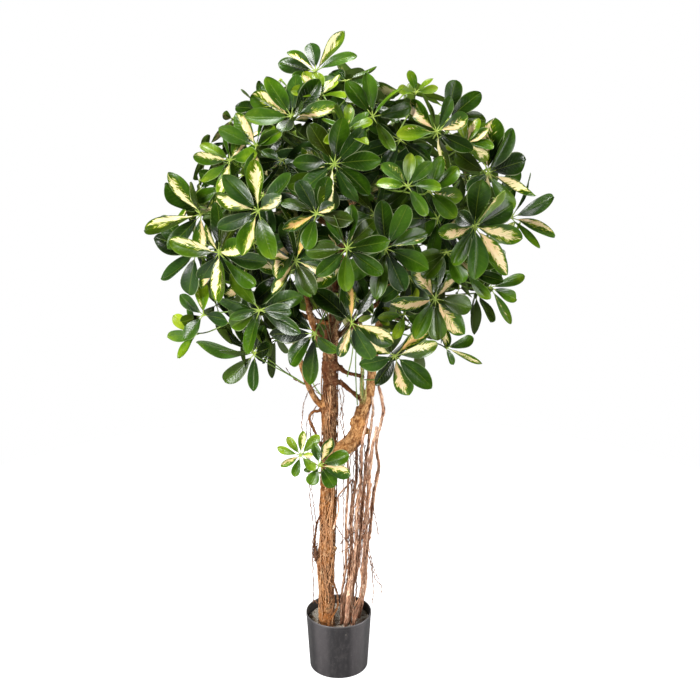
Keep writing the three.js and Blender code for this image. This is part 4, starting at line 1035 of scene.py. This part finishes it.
def add_leaflet(form, leaf, blade, bend, random):
    """One leaflet: a folded, arched blade with an upper and a lower face, and its short stalk."""
    along, side, over = directions(leaf, blade["angle"], bend + random.normal(0, TILT))
    cut = blade.get("cut", 1)
    length = blade["length"] * random.uniform(0.97, 1.03) * cut
    half = length * random.uniform(0.172, 0.232) * (1.1 if length < SHORT_LEAFLET else 1) / max(1, cut)
    droop, sway = random.uniform(-0.06, 0.24), random.uniform(-0.09, 0.09)
    roll, twist = math.radians(random.normal(0, ROLL)), math.radians(random.uniform(-TWIST, TWIST))
    blade_from = blade.get("stalk", BLADE_FROM)
    if "width" in blade:
        half, roll, twist = 0.19 * length * blade["width"], roll * 0.6, twist * 0.6
    if blade["cream"] > ORANGE_FROM:
        half, twist = half * 0.8, twist * 2
    side, over = side * math.cos(roll) + over * math.sin(roll), over * math.cos(roll) - side * math.sin(roll)
    wave, phase = random.uniform(0.006, 0.022) * length, random.uniform(0, 6.28)
    fold = random.uniform(0.8, 3.2) * KEEL * length
    belly, blunt, tip = random.uniform(0.72, 1.0), random.uniform(1.5, 2.6), random.uniform(0.52, 0.8)

    share = (blade_from + (BLADE_TO - blade_from) * ALONG)[:, None]
    wide = outline(ALONG, belly, blunt, tip)[:, None]
    t = ACROSS[None, :]
    lift = -ARCH * length * share**2 - droop * length * share**3
    lift = lift - fold * wide * (1 - np.abs(t)) ** 1.25
    lift = lift + wave * np.sin(9 * share + phase + 1.5 * t) * np.abs(t) ** 1.5
    shift = sway * length * share**2 + half * wide * t * np.cos(twist * share)
    lift = lift + half * wide * t * np.sin(twist * share)
    ahead = length * share - 0.5 * lift**2 / length
    point = leaf["hub"] + ahead[..., None] * along + shift[..., None] * side + lift[..., None] * over
    thick = (0.9 * (1 - t**2) * (1 - ALONG[:, None] ** 6))[..., None]
    point, lower = held_inside(np.stack([point, point - over * thick]), leaf["hub"])

    place = np.zeros((ROWS, COLUMNS, 3))
    place[..., 0], place[..., 1], place[..., 2] = ALONG[:, None], t, random.random()
    tone = blade["tone"] + TONE_SPREAD * random.normal()
    look = np.array([[tone, blade["cream"], random.choice(CREAM_SIDES)]])
    index = np.arange(ROWS * COLUMNS).reshape(ROWS, COLUMNS)
    quads = np.stack([index[:-1, :-1], index[:-1, 1:], index[1:, 1:], index[1:, :-1]], -1).reshape(-1, 4)
    values = {"leaf_place": place.reshape(-1, 3), "leaf_look": look}
    form.add(point.reshape(-1, 3), quads[:, ::-1].tolist(), 0, leaf_face=np.array([[0.0]]), **values)
    form.add(lower.reshape(-1, 3), quads.tolist(), 0, leaf_face=np.array([[1.0]]), **values)

    start = leaf["hub"] + leaf["facing"] * 0.5
    end = point[1, COLUMNS // 2] - over * 0.5
    path = spline([start, (start + end) / 2 + over * 0.4, end], 2)
    add_stem(form, path, np.linspace(1.3, 0.8, len(path)), 6, STAR_TONE, 0)


def add_stem(form, path, radii, sides, tone, woody):
    points, faces = tube(path, radii, sides)
    woody = np.repeat(np.broadcast_to(woody, len(path)), sides)
    look = np.stack([np.full(len(points), tone), woody, np.zeros(len(points))], -1)
    form.add(points, faces, 1, leaf_look=look)


def add_knob(form, at, radius, tone, random):
    """A bud: a small uneven ball."""
    rings, sides = 6, 8
    turn = np.linspace(0.2, math.pi - 0.2, rings)
    path = at + np.stack([0 * turn, 0 * turn, -radius * np.cos(turn)], -1)
    radii = radius * np.sin(turn)[:, None] * random.uniform(0.8, 1.15, (rings, sides))
    points, faces = tube(path, radii, sides)
    form.add(points, faces, 1, leaf_look=np.array([[tone, 0, 0]]))


def add_leaf(form, packed, leaf, bud, random):
    """A whole leaf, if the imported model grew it: stalk, hub and leaflets."""
    bends = [grown_bend(packed, leaf, blade) for blade in leaf["blades"]]
    if all(bend is None for bend in bends):
        return
    hub, facing = leaf["hub"], leaf["facing"]
    path = spline([bud, hub - facing * STALK_APPROACH, hub - facing * HUB_HEIGHT], 7)
    radii = np.interp(np.linspace(0, 1, len(path)), [0, 0.08, 0.9, 1], [2.2, 1.55, 1.45, 2.6])
    add_stem(form, path, radii, 7, leaf["tone"] * 0.6 + 0.15, 0)
    middle = spline([hub - facing * 4, hub, hub + facing * 2.6], 2)
    add_stem(form, middle, [2.2, 2.5, 2.7, 2.0, 0.8], 8, STAR_TONE, 0)
    for blade, bend in zip(leaf["blades"], bends):
        if blade["cut"] < LEAST_CUT:
            continue
        if bend is None:
            blade, bend = {**blade, "length": blade["length"] * MISSING["length"]}, MISSING["bend"]
        add_leaflet(form, leaf, blade, BEND_KEPT * bend, random)
    for blade in leaf["small"]:
        small = {**blade, "length": blade["length"] * SMALL["length"]}
        add_leaflet(form, leaf, small, SMALL["bend"], random)


def packed_wood():
    """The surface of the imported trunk, to find the nearest point on it."""
    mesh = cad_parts["trunk"].data
    corners = [tuple(v.co / MM) for v in mesh.vertices]
    return BVHTree.FromPolygons(corners, [tuple(p.vertices) for p in mesh.polygons])


def foot_of_stem(packed, wood, bud):
    """Where a spray's stem leaves the wood: the middle of the node's vertices that touch it."""
    touching = [p for p in packed.points if wood.find_nearest(Vector(p))[3] < 0.6]
    return np.mean(touching, axis=0) if touching else np.array(wood.find_nearest(Vector(bud))[0])


def all_sprays():
    """The spray on the trunk, the listed front ones and the back ones."""
    trunk_leaves = [listed_leaf(row, y) for row, y in zip(TRUNK_SPRAY["leaves"], TRUNK_SPRAY["forward"])]
    for leaf in trunk_leaves:
        for blade in leaf["blades"]:
            blade["stalk"] = TRUNK_SPRAY["stalk"]
    yield {"name": "spray_trunk", "leaves": trunk_leaves, "bud": np.array(TRUNK_SPRAY["bud"], float)}
    for name, rows in FRONT_SPRAYS.items():
        yield {"name": name, "leaves": [listed_leaf(row) for row in rows]}
    yield from back_sprays()


def grow_sprays(wood):
    for number, spray in enumerate(all_sprays()):
        if spray["name"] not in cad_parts:
            continue
        random = np.random.default_rng(SEEDS["sprays"] + number)
        packed, form = Packed(spray["name"]), Form()
        bud = spray["bud"] if "bud" in spray else settled_bud(packed, spray["leaves"])
        foot = foot_of_stem(packed, wood, bud)
        sag = np.array([0, 0, 0.03 * np.linalg.norm(bud - foot)])
        path = spline([foot - unit(bud - foot) * 2, foot * 0.6 + bud * 0.4 - sag, bud], 8)
        add_stem(form, path, np.linspace(2.9, 2.2, len(path)), 8, 0.4, np.linspace(0.9, 0, len(path)))
        add_knob(form, bud, BUD_RADIUS - 0.6, 0.7, random)
        for leaf in spray["leaves"]:
            add_leaf(form, packed, leaf, bud, random)
        name = spray["name"].replace("spray", "leaves")
        piece(name, form.mesh(name), [LEAF, STEM], "leaf", spray["name"])


def inner_hubs(random):
    """The middles of the inner leaves: a spiral through the crown, then the listed ones."""
    for i in range(INNER["leaves"]):
        up = 1 - (2 * i + 1) / INNER["leaves"]
        if up < INNER["lowest"]:
            break
        yield CROWN_MIDDLE + CROWN_HALF * spiral_direction(i, up) * random.uniform(*INNER["depths"])
    for hub in MORE_HUBS:
        yield np.array(hub, float)


def grow_inner_leaves(wood):
    """Older, darker leaves inside the crown, on stalks that leave the nearest wood."""
    random = np.random.default_rng(INNER["seed"])
    forms = [Form() for _ in range(INNER["pieces"])]
    for i, hub in enumerate(inner_hubs(random)):
        at = unit((hub - CROWN_MIDDLE) / CROWN_HALF)
        turn = math.atan2(at[0], -at[1]) + math.radians(random.normal(0, 20))
        tip = math.asin(at[2]) * 0.4 + math.radians(random.normal(12, 14))
        leaf = leaf_frame(hub, turn, tip, math.radians(random.uniform(-6, 8)))
        tone = random.uniform(0.05, 0.35)
        form = forms[i % len(forms)]
        foot = np.array(wood.find_nearest(Vector(hub * 0.6 + np.array([10, 0, hub[2]]) * 0.4))[0])
        facing = leaf["facing"]
        path = spline([foot, (foot + hub) / 2 - [0, 0, 12], hub - facing * 30, hub - facing * HUB_HEIGHT], 5)
        add_stem(form, path, np.linspace(2.2, 1.5, len(path)), 6, 0.3, np.linspace(0.8, 0, len(path)))
        count = random.integers(6, 9)
        first = random.uniform(0, 360)
        for k in range(count):
            angle = first + 360 * k / count + random.normal(0, 5)
            blade = {"angle": angle, "length": random.uniform(*INNER["lengths"])}
            blade["tone"] = tone + 0.06 * random.normal()
            blade["cream"] = 1 if random.random() < INNER["cream_share"] else NOT_CREAM
            add_leaflet(form, leaf, blade, 0, random)
    for number, form in enumerate(forms):
        name = f"leaves_inner_{number + 1}"
        piece(name, form.mesh(name), [LEAF, STEM], "leaf")


# ---------------------------------------------------------------------------------------------
# Wood
# ---------------------------------------------------------------------------------------------
def boughs():
    """Boughs that leave the leader on a spiral."""
    leader = spline(LEADER, 40)
    grown = []
    for i in range(BOUGHS["count"]):
        angle = math.radians(BOUGHS["first"] + BOUGHS["turn"] * i)
        foot = BOUGHS["lowest"] + BOUGHS["rise"] * i
        share = (foot - LEADER[0][2]) / (LEADER[-1][2] - LEADER[0][2])
        root = leader[round(share * (len(leader) - 1)), :3]
        out = np.array([math.cos(angle), math.sin(angle), 0]) * BOUGHS["reach"]
        stations = ((0, 0, BOUGH_ROOT), (0.5, 0.35, (BOUGH_ROOT + BOUGH_TIP) / 2), (1, 1, BOUGH_TIP))
        grown.append([[*(root + out * far + [0, 0, BOUGHS["lift"] * up]), r] for far, up, r in stations])
    return grown


def nearest_axis(paths):
    """A tree of the points along some limbs, with each point's own directions, distance along and limb."""
    samples = []
    for number, path in enumerate(paths):
        tangents, first, second = transported(path)
        run = np.concatenate([[0], np.cumsum(np.linalg.norm(np.diff(path, axis=0), axis=1))])
        samples += list(zip(path, tangents, first, second, run, [number] * len(path)))
    return tree_of([sample[0] for sample in samples]), samples


def grain_of(points, paths):
    """For each point its place in a straightened limb: two distances from the axis and one along it."""
    tree, samples = nearest_axis(paths)
    grain, limbs = np.zeros((len(points), 3)), np.zeros(len(points), int)
    for i, point in enumerate(points):
        at, tangent, first, second, run, limbs[i] = samples[tree.find(point)[1]]
        off = point - at
        grain[i] = off @ first, off @ second, run + off @ tangent
    return grain, limbs


def relief(grain, layers):
    """Height of the bark at each point: a sum of (size across, size along, height) layers of noise."""
    height = np.zeros(len(grain))
    for across, along, amount in layers:
        scaled = grain / np.array([across, across, along])
        height += amount * np.array([noise.noise(Vector(p)) for p in scaled])
    return height


def cracks(grain, layers):
    """How deep in a crack each point is, 0 to 1: each (size across, size along, width) layer of noise cracks
    where it passes through zero."""
    depth = np.zeros(len(grain))
    for across, along, width in layers:
        scaled = grain / np.array([across, across, along]) + 31.7
        near = np.array([abs(noise.noise(Vector(p))) for p in scaled])
        depth = np.maximum(depth, np.clip(1 - near / width, 0, 1))
    return depth


def remeshed(form, voxel):
    """The form as one skin without inner faces, as fine as a voxel, given in millimetres."""
    rough = placed("rough", form.mesh("rough"))
    modifier = rough.modifiers.new("skin", "REMESH")
    modifier.mode, modifier.voxel_size = "VOXEL", voxel * MM
    skin = bpy.data.meshes.new_from_object(rough.evaluated_get(bpy.context.evaluated_depsgraph_get()))
    bpy.data.objects.remove(rough)
    return skin


def carved(mesh, paths, layers, splits, split_depth, age_and_shade, green=(), smooth=(), side_shaded=()):
    """Raises bark on a mesh, and stores where each point lies in the grain and how it is marked. Limbs are
    given by their number. Side-shaded ones are darkened most on one side, a painted shade."""
    points = np.array([v.co for v in mesh.vertices], float) / MM
    normals = np.array([v.normal for v in mesh.vertices], float)
    grain, limbs = grain_of(points, paths)
    depth = cracks(grain, splits)
    if split_depth > 1:
        depth *= np.clip(0.45 + relief(grain, SPLIT_AREAS), 0, 1)
    young = np.isin(limbs, green) * np.clip((points[:, 2] - GREEN_FROM) / GREEN_OVER, 0, 0.9)
    marks = np.stack([depth, young, 0 * depth], -1)
    for limb, start, full, mark_amount in age_and_shade:
        # A side-shaded limb is darkened most on its side towards -x: a painted shade on that side.
        side = np.clip(0.62 - grain[:, 0] / 13, 0.15, 1) if limb in side_shaded else 1
        marks[:, 2] += mark_amount * side * np.clip((points[:, 2] - start) / (full - start), 0, 1) * (limbs == limb)
    rough = np.where(np.isin(limbs, smooth), 0.5, 1)
    points += normals * (rough * (relief(grain, layers) - split_depth * depth))[:, None]
    mesh.vertices.foreach_set("co", (np.clip(points, BOX_LOW, BOX_HIGH) * MM).ravel())
    mesh.polygons.foreach_set("use_smooth", [True] * len(mesh.polygons))
    set_vectors(mesh, "wood_grain", grain * MM)
    set_vectors(mesh, "wood_mark", marks)
    mesh.update()


def clinging_strand(axis, random, from_z, to_z, angle, slant, radius, proud):
    """A strand that climbs the trunk, slanting round it with a slow wander."""
    rows = []
    for x, y, z, trunk_radius in axis:
        if from_z <= z <= to_z:
            share = (z - from_z) / (to_z - from_z)
            wander = angle + slant * share + 12 * math.sin(3.1 * share + angle)
            turn = math.radians(wander + 7 * math.sin(11 * share))
            out = trunk_radius * TRUNK_SLIM + proud - 1.4 * radius * (share < 0.03 or share > 0.97)
            rows.append([x + out * math.cos(turn), y + out * math.sin(turn), z])
    path = spline(rows, 2)
    return path, radius * random.uniform(0.7, 1.25, len(path))


def add_ball(form, x, y, z, radius, random):
    """A knot: an uneven ball, to be joined to what it sits on."""
    turn = np.linspace(0.15, math.pi - 0.15, 7)
    path = np.array([x, y, z]) + np.stack([0 * turn, 0 * turn, -radius * np.cos(turn)], -1)
    form.add(*tube(path, radius * np.sin(turn)[:, None] * random.uniform(0.8, 1.2, (7, 9)), 9))


def grow_wood():
    random = np.random.default_rng(SEEDS["wood"])
    limbs = {
        "trunk": TRUNK, "fork": FORK, "left_branch": LEFT_BRANCH, "front_branch": FRONT_BRANCH,
        "pale_stem": PALE_STEM, "brown_stem": BROWN_STEM,
        **{f"twig_{i + 1}": stations for i, stations in enumerate(TWIGS)},
        **{f"bough_{i + 1}": stations for i, stations in enumerate(boughs())},
    }
    form, paths = Form(), []
    for stations in limbs.values():
        rows = spline(stations, 12)
        slim = TRUNK_SLIM if stations is TRUNK else 1
        form.add(*tube(rows[:, :3], rows[:, 3] * slim, 24))
        paths.append(rows[:, :3])
    for knot in KNOTS:
        add_ball(form, *knot, random)
    skin = remeshed(form, VOXEL)
    number = list(limbs).index
    carved(
        skin, paths, WOOD_RELIEF, WOOD_SPLITS, WOOD_SPLIT_DEPTH,
        age_and_shade=[(number(name), *row) for name, row in AGED.items()],
        green=[number("pale_stem")], smooth=[number(name) for name in SMOOTH_LIMBS],
        side_shaded=[number("trunk")],
    )
    piece("trunk_bark", skin, [BARK], "bark", "trunk")


def strand_piece(name, strands, sides, material):
    """Strands given as (path, radii), as one piece."""
    form = Form()
    for path, radii in strands:
        form.add(*tube(path, radii, sides))
    mesh = form.mesh(name)
    grain, _ = grain_of(np.concatenate(form.points), [path for path, _ in strands])
    set_vectors(mesh, "wood_grain", grain * MM)
    piece(name, mesh, [material], "liana")


def grow_strands():
    """Thin roots that cling to the trunk or hang beside it, and the stalks that show below the crown."""
    random = np.random.default_rng(SEEDS["strands"])
    strand_piece("bark_strands", clinging_strands(random), 6, FIBRE_BARK)
    side_root = spline(SIDE_ROOT, 8)
    beside = [(side_root, 1.9 * random.uniform(0.8, 1.2, len(side_root)))]
    strand_piece("thin_strands", between_lianas(random) + beside, 7, LIANA_BARK)
    strand_piece("hair_roots", hair_roots(random), 5, HAIR_BARK)
    grow_low_stalks(random)


def clinging_strands(random):
    """The listed strands on the trunk, and many short ones, most of them low on it."""
    axis = spline(TRUNK[:10], 14)
    strands = [clinging_strand(axis, random, *row) for row in CLINGING]
    for _ in range(SHORT_STRANDS):
        foot = random.choice([random.uniform(125, 400), random.uniform(400, 660)], p=[0.8, 0.2])
        top = foot + random.uniform(25, 80)
        radius = random.uniform(0.4, 0.95)
        slant = random.choice([-1, 1]) * random.uniform(15, 115)
        angle, proud = random.uniform(0, 360), random.uniform(0.2, 1.6)
        strands.append(clinging_strand(axis, random, foot, top, angle, slant, radius, proud))
    return strands


def hair_roots(random):
    """The listed fine roots, and the tangle of them on the trunk's left."""
    hairs = []
    for stations, radius in [*((root, 1.0) for root in FINE_ROOTS), (CREAM_ROOT, 1.1)]:
        path = spline(stations, 10)
        path[1:-1] += random.normal(0, 0.7, path[1:-1].shape)
        hairs.append((path, radius * random.uniform(0.6, 1.5, len(path))))
    for _ in range(TANGLE["strands"]):
        path = spline(TANGLE["middle"] + random.normal(0, 0.62, (5, 3)) * TANGLE["reach"], 5)
        hairs.append((path, random.uniform(0.5, 1.3) * random.uniform(0.7, 1.3, len(path))))
    return hairs


def grow_low_stalks(random):
    """The listed green stalks, and more that rise from the leader into the crown."""
    form = Form()
    for stations in LOW_STALKS:
        path = spline(stations, 8)
        add_stem(form, path, 1.25 * random.uniform(0.9, 1.1, len(path)), 7, random.uniform(0.3, 0.6), 0)
    for _ in range(RISING_STALKS):
        foot = np.array([-10, -6, random.uniform(760, 900)]) + random.normal(0, 5, 3)
        turn, reach = random.uniform(0, 2 * math.pi), random.uniform(50, 150)
        out = np.array([math.cos(turn), math.sin(turn), 0]) * reach
        path = spline([foot, foot + out * 0.4 + [0, 0, 60], foot + out + [0, 0, random.uniform(110, 190)]], 8)
        radii = random.uniform(0.8, 1.5) * np.linspace(1.2, 0.8, len(path))
        add_stem(form, path, radii, 6, random.uniform(0, 0.4), np.linspace(1, 0.2, len(path)))
    piece("low_stalks", form.mesh("low_stalks"), [LEAF, STEM], "leaf")


def between_lianas(random):
    """Thinner strands that run among the lianas, each partly beside one and partly beside the next."""
    routes = [spline(stations, 12)[:, :3] for stations in LIANAS]
    strands = []
    for k in range(STRANDS_BETWEEN):
        left = k % (len(routes) - 1)
        foot = 112 if k % 3 else random.uniform(180, 300)
        heights = np.arange(foot, random.uniform(400, 590), 7.0)
        share = 0.5 + 0.5 * np.sin(heights / random.uniform(45, 110) + random.uniform(0, 6.28))
        x, y = (
            np.interp(heights, routes[left][:, 2], routes[left][:, axis]) * (1 - share)
            + np.interp(heights, routes[left + 1][:, 2], routes[left + 1][:, axis]) * share
            for axis in (0, 1)
        )
        path = np.stack([x, y - random.uniform(-8, 10), heights], -1) + random.normal(0, 0.8, (len(heights), 3))
        gnarl = random.uniform(0.6, 2.0) * np.sin(heights / random.uniform(7, 12) + random.uniform(0, 6.28))
        path[:, 0] += gnarl
        strands.append((path, random.uniform(0.6, 1.6) * random.uniform(0.75, 1.25, len(path))))
    return strands


def grow_liana(number, stations):
    """A liana: a knobbly stem with thinner strands wound round it."""
    random = np.random.default_rng(SEEDS["lianas"] + number)
    rows = spline(stations, 12)
    path, radii = rows[:, :3], rows[:, 3]
    run = np.cumsum(np.linalg.norm(np.gradient(path, axis=0), axis=1))
    _, first, second = transported(path)
    form = Form()
    wobble = np.array([noise.noise_vector(Vector((r / 26, number * 7.3, 0))) for r in run])
    wobble *= np.clip(np.minimum(run, run[-1] - run) / 40, 0, 1)[:, None]
    core = path + wobble * 1.3
    lumps = np.array([1 + 0.3 * noise.noise(Vector((r / 9, number * 3.1, 4))) for r in run])
    form.add(*tube(core, radii * 0.76 * lumps, 14))
    for k in range(4):
        angle = run / random.uniform(30, 75) * random.choice([-1, 1]) + k * 1.6 + random.random()
        out = first * np.cos(angle)[:, None] + second * np.sin(angle)[:, None]
        wound = core + out * (radii * 0.64)[:, None]
        form.add(*tube(wound, radii * random.uniform(0.2, 0.38) * lumps[::-1], 8))
    mesh = form.mesh(f"liana_{number}_bark")
    shade = (0, FOOT_SHADE_FROM, FOOT_SHADE_FULL, FOOT_SHADE.get(number, 0))
    carved(mesh, [core], LIANA_RELIEF, LIANA_SPLITS, LIANA_SPLIT_DEPTH, age_and_shade=[shade])
    piece(mesh.name, mesh, [LIANA_BARK], "liana", f"liana_{number}")


# ---------------------------------------------------------------------------------------------
# Pot and filler
# ---------------------------------------------------------------------------------------------
def rounded(corners):
    """A profile of (radius, height) corners, each rounded by its third number."""
    line = []
    for i, (r, z, round_by) in enumerate(corners):
        here = np.array([r, z], float)
        if round_by and 0 < i < len(corners) - 1:
            before, after = (unit(np.array(corners[j][:2], float) - here) for j in (i - 1, i + 1))
            for t in np.linspace(0, 1, 6):
                line.append(here + before * round_by * (1 - t) ** 2 + after * round_by * t**2)
        else:
            line.append(here)
    return np.array(line)


def turned(profile, segments):
    """A body turned about the pot's axis. A profile point on the axis is one vertex."""
    points, rings, faces = [], [], []
    for r, z in profile:
        count = 1 if r < 1e-6 else segments
        angles = np.arange(count) * 2 * math.pi / segments
        rings.append(range(len(points), len(points) + count))
        points += [[r * math.cos(a), r * math.sin(a), z] for a in angles]
    for lower, upper in zip(rings, rings[1:]):
        for k in range(segments):
            here, there = ([ring[k % len(ring)], ring[(k + 1) % len(ring)]] for ring in (lower, upper))
            faces.append(tuple(dict.fromkeys([*here, *reversed(there)])))
    return np.array(points), faces


POT_SEGMENTS, FILLER_SEGMENTS, CRUMBS = 160, 120, 150


def make_pot():
    foot, rim, wall, floor, height = POT["foot"], POT["rim"], POT["wall"], POT["floor"], POT["height"]
    corners = [
        (0, 0.6, 0), (foot - 9, 0.6, 0.5), (foot - 8, 0, 0.4), (foot, 0, 2.6), (rim - 0.6, height - 9, 0.5),
        (rim, height - 8.2, 0.5), (rim, height, 0.8), (rim - wall, height, 0.8),
        (rim - wall - 0.5, height - 9, 0.5), (foot - wall, floor, 2), (0, floor, 0),
    ]
    form = Form()
    form.add(*turned(rounded(corners), POT_SEGMENTS))
    piece("pot_shell", form.mesh("pot_shell"), [POT_PLASTIC], "pot", "pot")


def wall_radius(z):
    """The pot's inside radius at a height."""
    share = (z - POT["floor"]) / (POT["height"] - POT["floor"])
    return POT["foot"] - POT["wall"] + (POT["rim"] - POT["foot"]) * share


def filler_height(share):
    """The height of the filler's dome, at a share of its radius."""
    return FILL["level"] + FILL["dome"] * (1 - share**2)


def make_filler():
    """The filler, with an uneven top."""
    top_radius = wall_radius(FILL["level"]) - FILL["wall_gap"]
    bottom = POT["floor"] + 0.4
    low = wall_radius(bottom) - FILL["wall_gap"]
    top = [(top_radius * share, filler_height(share)) for share in np.linspace(1, 0, 34)]
    points, faces = turned(np.array([(0, bottom), (low, bottom), *top]), FILLER_SEGMENTS)
    for p in points[FILLER_SEGMENTS + 1 :]:
        edge = min(1, (top_radius - math.hypot(p[0], p[1])) / 6)
        p[2] += edge * (1.3 * noise.noise(Vector(p) / 13) + 0.8 * noise.noise(Vector(p) / 4) - 0.6)
    form = Form()
    form.add(points, faces)
    piece("filler_block", form.mesh("filler_block"), [FILLER], "filler", "filler")


def strew_crumbs():
    """Loose grains and splinters on the filler."""
    random = np.random.default_rng(SEEDS["filler"])
    radius = wall_radius(FILL["level"]) - FILL["wall_gap"]
    form = Form()
    for _ in range(CRUMBS):
        angle, out = random.uniform(0, 6.28), radius * 0.95 * math.sqrt(random.random())
        at = np.array([out * math.cos(angle), out * math.sin(angle), filler_height(out / radius)])
        size, turn = random.uniform(0.8, 2.4), random.uniform(0, 6.28)
        length = size * random.choice([1.2, 1.6, 4.5], p=[0.5, 0.3, 0.2])
        ahead = np.array([math.cos(turn), math.sin(turn), random.uniform(-0.1, 0.3)]) * length
        path = at + ahead * np.linspace(-1, 1, 4)[:, None]
        radii = size * np.array([0.45, 0.8, 0.75, 0.35])[:, None] * random.uniform(0.6, 1.1, (4, 6))
        form.add(*tube(path, radii * (0.5 if length > 4 * size else 1), 6))
    piece("filler_crumbs", form.mesh("filler_crumbs"), [FILLER], "filler")


# ---------------------------------------------------------------------------------------------
# Studio
# ---------------------------------------------------------------------------------------------
# In metres and watts.
FLOOR_RADIUS = 1.6
AMBIENT = 0.05
FOCAL_LENGTH, SENSOR = 62.2, 36
# Lights: name, place, the point it faces, width and height, power.
LIGHTS = [
    ("key", (-1.7, -2.3, 3.1), (0, 0, 0.95), (0.7, 0.9), 180),
    ("fill", (2.6, -1.5, 1.7), (0, 0, 0.8), (0.6, 1.6), 44),
    ("top", (0.3, 0.5, 3.5), (0, 0, 1.0), (1.0, 1.0), 110),
    ("back", (-1.5, 2.9, 1.3), (0, 0, 0.7), (1.2, 1.6), 60),
    ("left_strip", (-0.95, -0.95, 0.3), (0, 0, 0.25), (0.2, 0.55), 19),
    ("right_strip", (1.15, -0.3, 0.3), (0, 0, 0.25), (0.2, 0.55), 15),
]


def soft_light(name, at, towards, size, power):
    light = bpy.data.lights.new(name, "AREA")
    light.shape, light.energy = "RECTANGLE", power
    light.size, light.size_y = size
    holder = placed(name, light)
    holder.location = at
    holder.rotation_euler = (Vector(towards) - Vector(at)).to_track_quat("-Z", "Y").to_euler()


def set_camera(scene):
    camera = placed("camera", bpy.data.cameras.new("camera"))
    camera.data.lens, camera.data.sensor_width = FOCAL_LENGTH, SENSOR
    camera.data.clip_end = 200
    camera.location = VIEWPOINT * MM
    camera.rotation_euler = (math.radians(90 - SIGHT_SLOPE), 0, 0)
    scene.camera = camera


def lay_floor():
    """A round floor that the camera sees as white."""
    angles = np.linspace(0, 2 * math.pi, 97)[:-1]
    rim = [(FLOOR_RADIUS * math.cos(a), FLOOR_RADIUS * math.sin(a), 0) for a in angles]
    floor = bpy.data.meshes.new("floor")
    floor.from_pydata(rim, [], [tuple(range(len(rim)))])
    ground = placed("floor", floor)
    pale = Shader("pale_floor", Base_Color=(0.3, 0.3, 0.3, 1), Roughness=0.9, Specular_IOR_Level=0.0)
    pale.bsdf.inputs["Emission Color"].default_value = (1, 1, 1, 1)
    pale.feed(pale.bsdf.inputs["Emission Strength"], pale.node("LightPath", {}).outputs["Is Camera Ray"])
    floor.materials.append(pale.material)


def hang_backdrop(scene):
    """A backdrop that shows white, and lights the plant only a little."""
    world = bpy.data.worlds.new("studio")
    scene.world = world
    world.use_nodes = True
    nodes, links = world.node_tree.nodes, world.node_tree.links
    background = nodes["Background"]
    background.inputs["Color"].default_value = (1, 1, 1, 1)
    path, strength = nodes.new("ShaderNodeLightPath"), nodes.new("ShaderNodeMapRange")
    strength.inputs["To Min"].default_value, strength.inputs["To Max"].default_value = AMBIENT, 1.0
    links.new(path.outputs["Is Camera Ray"], strength.inputs["Value"])
    links.new(strength.outputs["Result"], background.inputs["Strength"])


def make_studio():
    scene = bpy.context.scene
    scene.view_settings.view_transform = "Standard"
    set_camera(scene)
    lay_floor()
    hang_backdrop(scene)
    for row in LIGHTS:
        soft_light(*row)


make_studio()
make_pot()
make_filler()
strew_crumbs()
grow_wood()
grow_strands()
for index, stations in enumerate(LIANAS):
    grow_liana(index + 1, stations)
packed_trunk = packed_wood()
grow_sprays(packed_trunk)
grow_inner_leaves(packed_trunk)
